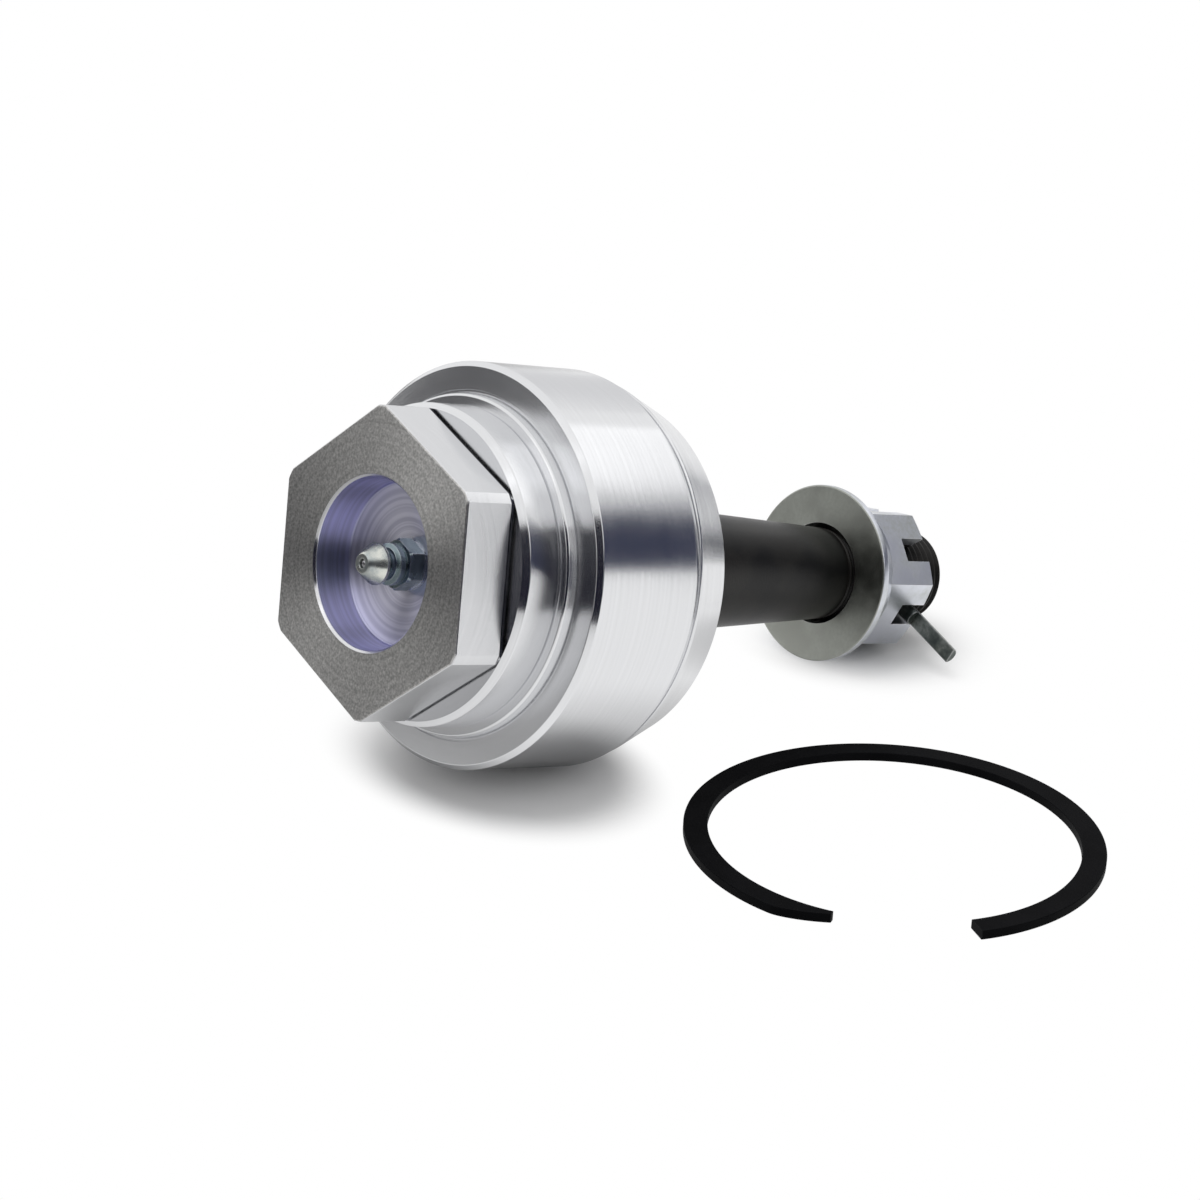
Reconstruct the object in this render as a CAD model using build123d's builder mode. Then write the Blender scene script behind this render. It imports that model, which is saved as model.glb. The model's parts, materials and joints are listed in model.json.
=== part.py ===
from build123d import *
import os
from math import atan2, cos, degrees, radians, sin, sqrt, tan

os.makedirs("parts", exist_ok=True)

# A pressed-in suspension ball joint, in millimetres.
# The origin is the centre of the ball. +X runs level towards the castle nut, +Z is up.
# A station is a distance along the joint's axis from the ball centre, positive towards the nut.

# Ball, stud and neck
ball_r = 18.0
neck_r = 8.0
neck_end = 22.4
neck_flare = 2.0
boot_land_r = 9.6
boot_land_len = 4.8
taper_lead = 0.4
taper_small_r = 8.0
taper_slope = 0.0625
thread_lead = 0.5
thread_r = 7.94
thread_depth = 0.75
thread_pitch = 1.411
thread_crest = 0.2
stud_past_nut = 8.1
stud_chamfer = 1.0

# Running clearance between pieces that turn, and slip clearance between pieces that are assembled
running_fit = 0.05
slip_fit = 0.05
soft_gap = 0.3

# Seats and the preload stack between the ball and the cap
seat_wall = 4.05
seat_gap = 0.4
seat_mouth_r = 15.0
seat_flare = 0.9
seat_port_r = 5.0
upper_seat_back = 12.0
plate_thickness = 1.0
plate_hole_r = 14.2
spring_thickness = 0.8
spring_cone = 0.4
spring_width = 6.7
spring_side_gap = 0.6
shim_thickness = 0.5
shim_width = 6.8
shim_side_gap = 0.3

# Housing
housing_r = 32.0
shoulder_front = 17.0
shoulder_chamfer = 0.8
boss_len = 1.7
boss_face_r = 26.5
boss_side_r = 27.1
boss_edge = 0.3
relief_width = 0.4
relief_depth = 0.3
press_rear = 3.6
ring_groove_width = 1.6
ring_groove_depth = 1.1
rear_land_r = 31.3
rear_land_len = 0.5
rear_face = 14.1
rear_rim_r = 28.15
rear_rim_chamfer = 0.3
lip_front = 11.0
lip_mouth_r = 16.2
boot_boss_len = 3.2
boot_boss_mouth_r = 18.6
boot_groove_r = 20.5
boot_groove_len = 2.6
boot_lip_r = 21.2

# Threaded cap
cap_thread_r = 24.0
cap_skirt_len = 9.0
cap_bore_relief = 0.7
collar_r = 25.1
collar_len = 6.9
collar_front_chamfer = 0.9
collar_rear_chamfer = 0.25
cap_hex_len = 9.4
cap_hex_apothem = 21.4
cap_hex_round_r = 24.2
cap_hex_turn = 18.7
cap_edge = 0.3
undercut_width = 0.5
undercut_depth = 0.45
recess_r = 13.3
recess_floor_r = 12.8
recess_depth = 6.6
recess_edge = 0.4
recess_dish = 1.7
cavity_r = 14.3
cavity_depth = 6.1
seal_section_r = 0.6
seal_squeeze = 0.02
seal_groove_width = 1.6
seal_front_land = 0.5

# Grease fitting
tip_proud = 1.4
tip_r = 1.8
tip_edge = 0.3
head_r = 3.3
head_len = 2.5
head_land = 0.4
head_back = 0.9
fitting_neck_r = 2.5
fitting_neck_len = 1.0
fitting_collar_len = 1.5
fitting_collar_edge = 0.3
fitting_hex_apothem = 3.55
fitting_hex_len = 3.1
fitting_hex_turn = 20.0
fitting_shank_r = 3.1
fitting_shank_proud = 0.5
inlet_r = 0.725
inlet_len = 0.5
check_chamber_r = 1.0
check_chamber_len = 4.9
outlet_r = 0.6
check_ball_r = 0.9
check_spring_r = 0.7
check_spring_wire_r = 0.12
check_spring_turns = 6
check_spring_gap = 0.06

# Castle nut and cotter pin
nut_front = 66.9
nut_flange_r = 15.5
nut_flange_rim = 1.3
nut_flange_edge = 0.2
nut_cone_len = 4.4
nut_cone_top_r = 12.6
nut_hex_apothem = 11.5
nut_len = 17.1
nut_hex_turn = 111.0
nut_end_circle_r = 11.3
nut_end_angle = 30.0
nut_bore_chamfer = 0.45
slot_width = 4.3
slot_depth = 6.0
slot_turn = 21.0
pin_from_nut_end = 2.2
pin_hole_r = 1.6
pin_r = 1.45
pin_leg_split = 0.1
pin_turn = 201.0
pin_long_reach = 23.0
pin_short_reach = 12.6
pin_eye_r = 2.7
pin_eye_hole_r = 1.35
pin_eye_width = 2.4
pin_eye_gap = 0.1

# Dust boot with its two clips and its neck bush
boot_wall = 1.3
bead_outer_r = 22.6
boot_dome_mid = (21.5, 19.6)
boot_dome_end = (25.2, 14.2)
boot_neck_wall = 1.2
boot_neck_len = 3.1
base_clip_width = 1.6
base_clip_thickness = 0.7
neck_clip_wire_r = 0.5
neck_clip_station = 26.6
bush_wall = 0.84
bush_len = 3.7
bush_flange_r = 11.4
bush_flange_thickness = 0.5

# Snap ring, lying on the floor beside the joint
snap_outer_r = 32.8
snap_width = 3.8
snap_thickness = 1.5
snap_centre_x = 23.4
snap_centre_y = -59.6
snap_square_end = -113.5
snap_nose_start = 190.0
snap_nose_mid = 198.5
snap_nose_tip = 205.5
snap_nose_mid_drop = 2.0
snap_nose_tip_drop = 2.8
snap_tip_roundness = 0.4

# Stations and radii that follow from the sizes above
boss_front = -(shoulder_front + boss_len)
seat_r = ball_r + seat_wall
seat_bore_r = seat_r + slip_fit
thread_bore_r = cap_thread_r + 2 * slip_fit
spring_outer_r = seat_bore_r - spring_side_gap
spring_inner_r = spring_outer_r - spring_width
shim_outer_r = seat_bore_r - shim_side_gap
shim_inner_r = shim_outer_r - shim_width
plate_front = -(upper_seat_back + plate_thickness)
spring_rise = spring_thickness + spring_cone
spring_middle = plate_front - spring_rise
shim_back = spring_middle - spring_rise
cap_shoulder = shim_back - shim_thickness
cavity_end = cap_shoulder - cavity_depth
skirt_end = boss_front + cap_skirt_len
collar_front = boss_front - collar_len
hex_front = collar_front - cap_hex_len
recess_floor = hex_front + recess_depth
fitting_seat = recess_floor + recess_dish
boot_boss_end = rear_face + boot_boss_len
boot_groove_end = rear_face + boot_groove_len
nut_end = nut_front + nut_len
nut_corner_r = nut_hex_apothem / cos(radians(30))
taper_end = nut_front - thread_lead
stud_end = nut_end + stud_past_nut
pin_station = nut_end - pin_from_nut_end
snap_inner_r = snap_outer_r - snap_width
snap_nose_mid_r = snap_outer_r - snap_nose_mid_drop
snap_nose_tip_r = snap_outer_r - snap_nose_tip_drop

# The joint lies on the rear edge of its housing and on one corner of its nut, so its axis dips
nut_corner_cut = (nut_corner_r - nut_end_circle_r) * tan(radians(nut_end_angle))
nut_low_corner = radians(nut_hex_turn + 180.0 - 270.0)
nut_touch_station = nut_end - nut_corner_cut
nut_touch_r = nut_corner_r * cos(nut_low_corner)
dip = atan2(housing_r - nut_touch_r, nut_touch_station - press_rear)
floor_z = -(housing_r * cos(dip) + press_rear * sin(dip))
joint_dir = Vector(cos(dip), 0, -sin(dip))
joint_axis = Axis((0, 0, 0), joint_dir)
section = Plane(origin=(0, 0, 0), x_dir=joint_dir, z_dir=(0, -1, 0))


def across(station):
    """The plane across the axis at a station: its x is +Y and its y is the upward normal."""
    return Plane(origin=joint_dir * station, x_dir=(0, 1, 0), z_dir=joint_dir)


def profile(*outline):
    """A closed outline of (station, radius) points as a face in the section plane."""
    with BuildSketch(section) as shape:
        with BuildLine():
            Polyline(*outline, close=True)
        make_face()
    return shape.sketch


def tube(start, end, inner_r, outer_r):
    """The section of a plain ring between two stations."""
    return profile((start, inner_r), (end, inner_r), (end, outer_r), (start, outer_r))


# Housing: press diameter, snap-ring groove, front boss, rear lip and the boss for the boot
groove_r = housing_r - ring_groove_depth
groove_rear = press_rear + ring_groove_width
with BuildPart() as housing:
    revolve(
        profile(
            (boss_front, thread_bore_r),
            (boss_front, boss_face_r),
            (boss_front + boss_edge, boss_face_r + boss_edge),
            (-shoulder_front, boss_side_r),
            (-shoulder_front + relief_depth, boss_side_r),
            (-shoulder_front + relief_depth, boss_side_r + relief_width),
            (-shoulder_front, boss_side_r + relief_width),
            (-shoulder_front, housing_r - shoulder_chamfer),
            (-shoulder_front + shoulder_chamfer, housing_r),
            (press_rear, housing_r),
            (press_rear, groove_r),
            (groove_rear, groove_r),
            (groove_rear, rear_land_r),
            (groove_rear + rear_land_len, rear_land_r),
            (rear_face - rear_rim_chamfer, rear_rim_r),
            (rear_face, rear_rim_r - rear_rim_chamfer),
            (rear_face, boot_groove_r),
            (boot_groove_end, boot_groove_r),
            (boot_groove_end, boot_lip_r),
            (boot_boss_end, boot_lip_r),
            (boot_boss_end, boot_boss_mouth_r),
            (lip_front, lip_mouth_r),
            (lip_front, seat_bore_r),
            (skirt_end + cap_bore_relief, seat_bore_r),
            (skirt_end + cap_bore_relief, thread_bore_r),
        ),
        axis=joint_axis,
    )
housing.part.label = "housing"
export_step(housing.part, "parts/housing.step")

# Threaded cap: hexagon with rounded corners, collar, skirt, front recess and grease cavity
seal_groove_front = boss_front + seal_front_land
seal_groove_r = thread_bore_r - 2 * seal_section_r
with BuildPart() as threaded_cap:
    with BuildSketch(across(hex_front)):
        RegularPolygon(
            cap_hex_apothem, side_count=6, major_radius=False, rotation=cap_hex_turn
        )
        Circle(cap_hex_round_r, mode=Mode.INTERSECT)
    extrude(amount=cap_hex_len - undercut_width)
    cap_rim = threaded_cap.faces().sort_by(joint_axis)[0].edges()
    chamfer(cap_rim, cap_edge)
    with BuildSketch(across(collar_front - undercut_width)):
        RegularPolygon(
            cap_hex_apothem - undercut_depth,
            side_count=6,
            major_radius=False,
            rotation=cap_hex_turn,
        )
        Circle(cap_hex_round_r, mode=Mode.INTERSECT)
    extrude(amount=undercut_width)
    revolve(
        profile(
            (collar_front, 0),
            (collar_front, collar_r - collar_front_chamfer),
            (collar_front + collar_front_chamfer, collar_r),
            (boss_front - collar_rear_chamfer, collar_r),
            (boss_front, collar_r - collar_rear_chamfer),
            (boss_front, cap_thread_r),
            (seal_groove_front, cap_thread_r),
            (seal_groove_front, seal_groove_r),
            (seal_groove_front + seal_groove_width, seal_groove_r),
            (seal_groove_front + seal_groove_width, cap_thread_r),
            (skirt_end, cap_thread_r),
            (skirt_end, seat_bore_r),
            (cap_shoulder, seat_bore_r),
            (cap_shoulder, cavity_r),
            (cavity_end, cavity_r),
            (cavity_end, 0),
        ),
        axis=joint_axis,
    )
    revolve(
        profile(
            (hex_front, 0),
            (hex_front, recess_r + recess_edge),
            (hex_front + recess_edge, recess_r),
            (recess_floor, recess_floor_r),
            (fitting_seat, fitting_hex_apothem / cos(radians(30))),
            (fitting_seat, 0),
        ),
        axis=joint_axis,
        mode=Mode.SUBTRACT,
    )
    revolve(
        tube(fitting_seat, cavity_end, 0, fitting_shank_r + slip_fit),
        axis=joint_axis,
        mode=Mode.SUBTRACT,
    )
threaded_cap.part.label = "threaded_cap"
export_step(threaded_cap.part, "parts/threaded_cap.step")

# Seal ring in the cap's groove, against the mouth of the housing's thread bore
seal_centre_r = thread_bore_r - seal_section_r
with BuildPart() as cap_seal_ring:
    with BuildSketch(section):
        with Locations((seal_groove_front + seal_groove_width / 2, seal_centre_r)):
            Circle(seal_section_r - seal_squeeze)
    revolve(axis=joint_axis)
cap_seal_ring.part.label = "cap_seal_ring"
export_step(cap_seal_ring.part, "parts/cap_seal_ring.step")

# Upper seat, on the cap side of the ball
with BuildPart() as upper_seat:
    revolve(tube(-upper_seat_back, -seat_gap, seat_port_r, seat_r), axis=joint_axis)
    Sphere(ball_r + running_fit, mode=Mode.SUBTRACT)
upper_seat.part.label = "upper_seat"
export_step(upper_seat.part, "parts/upper_seat.step")

# Lower seat, on the stud side, resting on the housing's lip
with BuildPart() as lower_seat:
    revolve(
        profile(
            (seat_gap, seat_r),
            (lip_front, seat_r),
            (lip_front, seat_mouth_r + seat_flare),
            (lip_front - seat_flare, seat_mouth_r),
            (seat_gap, seat_mouth_r),
        ),
        axis=joint_axis,
    )
    Sphere(ball_r + running_fit, mode=Mode.SUBTRACT)
lower_seat.part.label = "lower_seat"
export_step(lower_seat.part, "parts/lower_seat.step")

# Preload stack: pressure plate, two disc springs back to back, and the shim that sets the preload
with BuildPart() as pressure_plate:
    revolve(tube(plate_front, -upper_seat_back, plate_hole_r, seat_r), axis=joint_axis)
pressure_plate.part.label = "pressure_plate"
export_step(pressure_plate.part, "parts/pressure_plate.step")

with BuildPart() as disc_spring_1:
    revolve(
        profile(
            (plate_front, spring_outer_r),
            (plate_front - spring_thickness, spring_outer_r),
            (spring_middle, spring_inner_r),
            (plate_front - spring_cone, spring_inner_r),
        ),
        axis=joint_axis,
    )
disc_spring_1.part.label = "disc_spring_1"
export_step(disc_spring_1.part, "parts/disc_spring_1.step")

with BuildPart() as disc_spring_2:
    revolve(
        profile(
            (shim_back, spring_outer_r),
            (shim_back + spring_thickness, spring_outer_r),
            (spring_middle, spring_inner_r),
            (shim_back + spring_cone, spring_inner_r),
        ),
        axis=joint_axis,
    )
disc_spring_2.part.label = "disc_spring_2"
export_step(disc_spring_2.part, "parts/disc_spring_2.step")

with BuildPart() as preload_shim:
    revolve(tube(cap_shoulder, shim_back, shim_inner_r, shim_outer_r), axis=joint_axis)
preload_shim.part.label = "preload_shim"
export_step(preload_shim.part, "parts/preload_shim.step")

# Grease fitting: ball-check head, neck, collar, hexagon and shank, bored through
fitting_tip = hex_front - tip_proud
head_end = fitting_tip + head_len + head_land
fitting_neck_start = head_end + head_back
fitting_neck_end = fitting_neck_start + fitting_neck_len
fitting_hex_front = fitting_seat - fitting_hex_len
fitting_collar_end = fitting_neck_end + fitting_collar_len
check_seat = fitting_tip + inlet_len
chamber_end = check_seat + check_chamber_len
fitting_end = cavity_end + fitting_shank_proud
fitting_corner_r = fitting_hex_apothem / cos(radians(30))
with BuildPart() as grease_fitting:
    with BuildSketch(across(fitting_hex_front)):
        RegularPolygon(
            fitting_hex_apothem, side_count=6, major_radius=False, rotation=fitting_hex_turn
        )
    extrude(amount=fitting_hex_len)
    for outer_end, inner_end in (
        (fitting_hex_front, fitting_hex_front + fitting_collar_edge),
        (fitting_seat, fitting_seat - fitting_collar_edge),
    ):
        revolve(
            profile(
                (outer_end, fitting_hex_apothem),
                (outer_end, fitting_corner_r + slip_fit),
                (inner_end, fitting_corner_r + slip_fit),
            ),
            axis=joint_axis,
            mode=Mode.SUBTRACT,
        )
    revolve(
        profile(
            (fitting_tip, 0),
            (fitting_tip, tip_r - tip_edge),
            (fitting_tip + tip_edge, tip_r),
            (fitting_tip + head_len, head_r),
            (head_end, head_r),
            (fitting_neck_start, fitting_neck_r),
            (fitting_neck_end, fitting_neck_r),
            (fitting_neck_end + fitting_collar_edge, head_r),
            (fitting_collar_end - fitting_collar_edge, head_r),
            (fitting_collar_end, head_r - fitting_collar_edge),
            (fitting_seat, fitting_shank_r),
            (fitting_end, fitting_shank_r),
            (fitting_end, 0),
        ),
        axis=joint_axis,
    )
    revolve(
        profile(
            (fitting_tip, 0),
            (fitting_tip, inlet_r),
            (check_seat, inlet_r),
            (check_seat, check_chamber_r),
            (chamber_end, check_chamber_r),
            (chamber_end, outlet_r),
            (fitting_end, outlet_r),
            (fitting_end, 0),
        ),
        axis=joint_axis,
        mode=Mode.SUBTRACT,
    )
grease_fitting.part.label = "grease_fitting"
export_step(grease_fitting.part, "parts/grease_fitting.step")

# Check ball behind the inlet of the fitting, and the coil spring that closes it
check_ball_station = check_seat + sqrt(check_ball_r**2 - inlet_r**2) + running_fit
with BuildPart() as fitting_check_ball:
    with Locations(joint_dir * check_ball_station):
        Sphere(check_ball_r)
fitting_check_ball.part.label = "fitting_check_ball"
export_step(fitting_check_ball.part, "parts/fitting_check_ball.step")

coil_touch = sqrt((check_ball_r + check_spring_wire_r) ** 2 - check_spring_r**2)
coil_start = check_ball_station + coil_touch + check_spring_gap
coil_len = chamber_end - check_spring_wire_r - check_spring_gap - coil_start
with BuildPart() as fitting_spring:
    with BuildLine() as coil:
        Helix(
            pitch=coil_len / check_spring_turns,
            height=coil_len,
            radius=check_spring_r,
            center=joint_dir * coil_start,
            direction=joint_dir,
        )
    with BuildSketch(Plane(origin=coil.line @ 0, z_dir=coil.line % 0)):
        Circle(check_spring_wire_r)
    sweep(path=coil.line, is_frenet=True)
fitting_spring.part.label = "fitting_spring"
export_step(fitting_spring.part, "parts/fitting_spring.step")

# Ball stud: ball, neck, land for the boot, taper and thread with its cross hole
taper_start = neck_end + neck_flare + boot_land_len + taper_lead
thread_root_r = thread_r - thread_depth
thread_flank = (thread_pitch - thread_crest) / 2
thread_turns = int((stud_end - stud_chamfer - taper_end - thread_flank) / thread_pitch)
thread_last = taper_end + thread_turns * thread_pitch
thread_points = []
for turn in range(thread_turns):
    root = taper_end + turn * thread_pitch
    thread_points += [
        (root, thread_root_r),
        (root + thread_flank, thread_r),
        (root + thread_flank + thread_crest, thread_r),
    ]
pin_dir = across(0).x_dir * cos(radians(pin_turn)) + across(0).y_dir * sin(radians(pin_turn))
pin_centre = joint_dir * pin_station
with BuildPart() as ball_stud:
    Sphere(ball_r)
    revolve(
        profile(
            (0, 0),
            (0, neck_r),
            (neck_end, neck_r),
            (neck_end + neck_flare, boot_land_r),
            (taper_start - taper_lead, boot_land_r),
            (taper_start, taper_small_r + taper_slope * (nut_front - taper_start)),
            (taper_end, taper_small_r + taper_slope * (nut_front - taper_end)),
            *thread_points,
            (thread_last, thread_root_r),
            (thread_last + thread_flank, thread_r),
            (stud_end - stud_chamfer, thread_r),
            (stud_end, thread_r - stud_chamfer),
            (stud_end, 0),
        ),
        axis=joint_axis,
    )
    with BuildSketch(Plane(origin=pin_centre, x_dir=joint_dir, z_dir=pin_dir)):
        Circle(pin_hole_r)
    extrude(amount=2 * thread_r, both=True, mode=Mode.SUBTRACT)
ball_stud.part.label = "ball_stud"
export_step(ball_stud.part, "parts/ball_stud.step")

# Castle nut: round flange, cone, chamfered hexagon and three slots right across
nut_bore_r = thread_r + slip_fit
nut_bore_mouth_r = taper_small_r + slip_fit + nut_bore_chamfer
with BuildPart() as castle_nut:
    revolve(
        profile(
            (nut_front, 0),
            (nut_front, nut_flange_r - nut_flange_edge),
            (nut_front + nut_flange_edge, nut_flange_r),
            (nut_front + nut_flange_rim, nut_flange_r),
            (nut_front + nut_flange_rim + nut_cone_len, nut_cone_top_r),
            (nut_front + nut_flange_rim + nut_cone_len, 0),
        ),
        axis=joint_axis,
    )
    with BuildSketch(across(nut_front + nut_flange_rim)):
        RegularPolygon(
            nut_hex_apothem, side_count=6, major_radius=False, rotation=nut_hex_turn
        )
    extrude(amount=nut_len - nut_flange_rim)
    revolve(
        profile(
            (nut_end, nut_end_circle_r),
            (nut_end, nut_corner_r),
            (nut_end - nut_corner_cut, nut_corner_r),
        ),
        axis=joint_axis,
        mode=Mode.SUBTRACT,
    )
    revolve(
        profile(
            (nut_front, 0),
            (nut_front, nut_bore_mouth_r),
            (nut_front + nut_bore_chamfer, nut_bore_r),
            (nut_end, nut_bore_r),
            (nut_end, 0),
        ),
        axis=joint_axis,
        mode=Mode.SUBTRACT,
    )
    with BuildSketch(across(nut_end)):
        for slot in range(3):
            with Locations(Rotation(0, 0, slot_turn + 60 * slot)):
                Rectangle(3 * nut_corner_r, slot_width)
    extrude(amount=-slot_depth, mode=Mode.SUBTRACT)
castle_nut.part.label = "castle_nut"
export_step(castle_nut.part, "parts/castle_nut.step")

# Cotter pin: two half-round legs, one longer than the other, joined in an eye
pin_plane = Plane(origin=pin_centre, x_dir=joint_dir, z_dir=pin_dir)
pin_eye_centre = -(nut_hex_apothem + pin_eye_gap + pin_eye_r)
pin_side = Plane(origin=pin_centre, x_dir=pin_dir, z_dir=pin_dir.cross(joint_dir))
with BuildPart() as cotter_pin:
    with BuildSketch(pin_plane.offset(pin_eye_centre + pin_eye_hole_r)):
        Circle(pin_r)
        with Locations((pin_r + pin_leg_split / 2, 0)):
            Rectangle(2 * pin_r, 2 * pin_r, mode=Mode.INTERSECT)
    extrude(amount=pin_long_reach - pin_eye_centre - pin_eye_hole_r)
    with BuildSketch(pin_plane.offset(pin_eye_centre + pin_eye_hole_r)):
        Circle(pin_r)
        with Locations((-pin_r - pin_leg_split / 2, 0)):
            Rectangle(2 * pin_r, 2 * pin_r, mode=Mode.INTERSECT)
    extrude(amount=pin_short_reach - pin_eye_centre - pin_eye_hole_r)
    with BuildSketch(pin_side):
        with Locations((pin_eye_centre, 0)):
            Circle(pin_eye_r)
    extrude(amount=pin_eye_width / 2, both=True)
    with BuildSketch(pin_side):
        with Locations((pin_eye_centre, 0)):
            Circle(pin_eye_hole_r)
    extrude(amount=2 * pin_r, both=True, mode=Mode.SUBTRACT)
cotter_pin.part.label = "cotter_pin"
export_step(cotter_pin.part, "parts/cotter_pin.step")

# Dust boot: bead in the housing's groove, domed wall and neck round the stud
bead_front = rear_face + soft_gap
bead_end = boot_groove_end - soft_gap
dome_front = boot_boss_end - soft_gap
bush_inner_r = boot_land_r + running_fit
bush_outer_r = bush_inner_r + bush_wall
boot_neck_inner_r = bush_outer_r + soft_gap
boot_neck_outer_r = boot_neck_inner_r + boot_neck_wall
dome_end_s, dome_end_r = boot_dome_end
boot_end = dome_end_s + boot_neck_len
with BuildPart() as dust_boot:
    with BuildSketch(section):
        with BuildLine():
            Polyline(
                (dome_front, boot_lip_r + soft_gap),
                (bead_end, boot_lip_r + soft_gap),
                (bead_end, boot_groove_r + soft_gap),
                (bead_front, boot_groove_r + soft_gap),
                (bead_front, bead_outer_r),
                (dome_front, bead_outer_r),
            )
            ThreePointArc((dome_front, bead_outer_r), boot_dome_mid, boot_dome_end)
            Polyline(
                boot_dome_end,
                (dome_end_s, boot_neck_outer_r),
                (boot_end, boot_neck_outer_r),
                (boot_end, boot_neck_inner_r),
                (dome_end_s - boot_wall / 4, boot_neck_inner_r),
                (dome_end_s - boot_wall, dome_end_r - boot_wall / 2),
            )
            ThreePointArc(
                (dome_end_s - boot_wall, dome_end_r - boot_wall / 2),
                (boot_dome_mid[0] - boot_wall / 2, boot_dome_mid[1] - boot_wall * 0.8),
                (dome_front, boot_lip_r + soft_gap),
            )
        make_face()
    revolve(axis=joint_axis)
dust_boot.part.label = "dust_boot"
export_step(dust_boot.part, "parts/dust_boot.step")

# Flat band round the boot's bead, and wire ring round its neck
base_clip_inner_r = bead_outer_r + soft_gap
base_clip_middle = (bead_front + bead_end) / 2
with BuildPart() as boot_base_clip:
    revolve(
        tube(
            base_clip_middle - base_clip_width / 2,
            base_clip_middle + base_clip_width / 2,
            base_clip_inner_r,
            base_clip_inner_r + base_clip_thickness,
        ),
        axis=joint_axis,
    )
boot_base_clip.part.label = "boot_base_clip"
export_step(boot_base_clip.part, "parts/boot_base_clip.step")

with BuildPart() as boot_neck_clip:
    with BuildSketch(section):
        with Locations((neck_clip_station, boot_neck_outer_r + soft_gap + neck_clip_wire_r)):
            Circle(neck_clip_wire_r)
    revolve(axis=joint_axis)
boot_neck_clip.part.label = "boot_neck_clip"
export_step(boot_neck_clip.part, "parts/boot_neck_clip.step")

# Flanged bush inside the boot's neck, turning on the stud's land
bush_end = boot_end + soft_gap
with BuildPart() as boot_neck_bush:
    revolve(
        profile(
            (bush_end - bush_len, bush_inner_r),
            (bush_end - bush_len, bush_outer_r),
            (bush_end, bush_outer_r),
            (bush_end, bush_flange_r),
            (bush_end + bush_flange_thickness, bush_flange_r),
            (bush_end + bush_flange_thickness, bush_inner_r),
        ),
        axis=joint_axis,
    )
boot_neck_bush.part.label = "boot_neck_bush"
export_step(boot_neck_bush.part, "parts/boot_neck_bush.step")


def ring_point(radius, angle):
    """A point on the snap ring's plane from a radius and an angle in degrees."""
    return (radius * cos(radians(angle)), radius * sin(radians(angle)))


# Snap ring: flat, open, with one square end and one end drawn out into a nose
snap_arc_middle = (snap_square_end + snap_nose_start) / 2
snap_inner_middle = (snap_square_end + snap_nose_tip) / 2
snap_plane = Plane(origin=(snap_centre_x, snap_centre_y, floor_z), z_dir=(0, 0, 1))
with BuildPart() as snap_ring:
    with BuildSketch(snap_plane):
        with BuildLine():
            ThreePointArc(
                ring_point(snap_outer_r, snap_square_end),
                ring_point(snap_outer_r, snap_arc_middle),
                ring_point(snap_outer_r, snap_nose_start),
            )
            ThreePointArc(
                ring_point(snap_outer_r, snap_nose_start),
                ring_point(snap_nose_mid_r, snap_nose_mid),
                ring_point(snap_nose_tip_r, snap_nose_tip),
            )
            Line(
                ring_point(snap_nose_tip_r, snap_nose_tip),
                ring_point(snap_inner_r, snap_nose_tip),
            )
            ThreePointArc(
                ring_point(snap_inner_r, snap_nose_tip),
                ring_point(snap_inner_r, snap_inner_middle),
                ring_point(snap_inner_r, snap_square_end),
            )
            Line(
                ring_point(snap_inner_r, snap_square_end),
                ring_point(snap_outer_r, snap_square_end),
            )
        make_face()
    extrude(amount=snap_thickness)
    nose_edges = snap_ring.edges().filter_by(Axis.Z)
    tip_x, tip_y = ring_point(snap_nose_tip_r, snap_nose_tip)
    tip = Vector(snap_centre_x + tip_x, snap_centre_y + tip_y, floor_z + snap_thickness / 2)
    tip_width = snap_nose_tip_r - snap_inner_r
    fillet(nose_edges.sort_by_distance(tip)[0:2], snap_tip_roundness * tip_width)
snap_ring.part.label = "snap_ring"
export_step(snap_ring.part, "parts/snap_ring.step")

print("dip of the axis in degrees", round(degrees(dip), 3), "floor z", round(floor_z, 3))
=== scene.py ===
"""A pressed-in suspension ball joint with its nut, cotter pin and snap ring, in metres."""

import json
from math import asin, atan2, cos, hypot, pi, radians, sin, tan
from types import SimpleNamespace

import bmesh
import bpy
from bpy.props import FloatProperty, FloatVectorProperty, IntProperty, PointerProperty
from mathutils import Matrix, Vector


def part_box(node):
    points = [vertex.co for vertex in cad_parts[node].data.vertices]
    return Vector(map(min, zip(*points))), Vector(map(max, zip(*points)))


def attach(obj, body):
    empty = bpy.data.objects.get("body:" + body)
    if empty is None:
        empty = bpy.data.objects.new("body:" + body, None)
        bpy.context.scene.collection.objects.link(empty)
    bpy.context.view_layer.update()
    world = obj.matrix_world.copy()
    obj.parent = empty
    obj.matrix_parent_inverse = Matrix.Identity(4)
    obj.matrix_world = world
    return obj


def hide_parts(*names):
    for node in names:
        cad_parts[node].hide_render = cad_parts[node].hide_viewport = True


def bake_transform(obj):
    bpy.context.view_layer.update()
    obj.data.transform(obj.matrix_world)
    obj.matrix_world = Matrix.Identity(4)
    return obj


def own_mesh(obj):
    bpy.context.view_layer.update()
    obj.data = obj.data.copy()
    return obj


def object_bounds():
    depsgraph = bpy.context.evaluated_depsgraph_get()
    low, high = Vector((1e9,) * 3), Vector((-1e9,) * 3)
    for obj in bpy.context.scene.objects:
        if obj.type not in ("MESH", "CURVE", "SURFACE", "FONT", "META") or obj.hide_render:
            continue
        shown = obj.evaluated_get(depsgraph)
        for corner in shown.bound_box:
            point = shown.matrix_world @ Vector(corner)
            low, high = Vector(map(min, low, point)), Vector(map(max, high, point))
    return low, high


bl_info = {
    "name": "Ball Joint",
    "version": (1, 0, 0),
    "blender": (4, 5, 0),
    "location": "View3D > Sidebar > Ball Joint",
    "description": "Dresses a packed suspension ball joint and sets its stage",
    "category": "Add Mesh",
}

MM = 0.001

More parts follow.
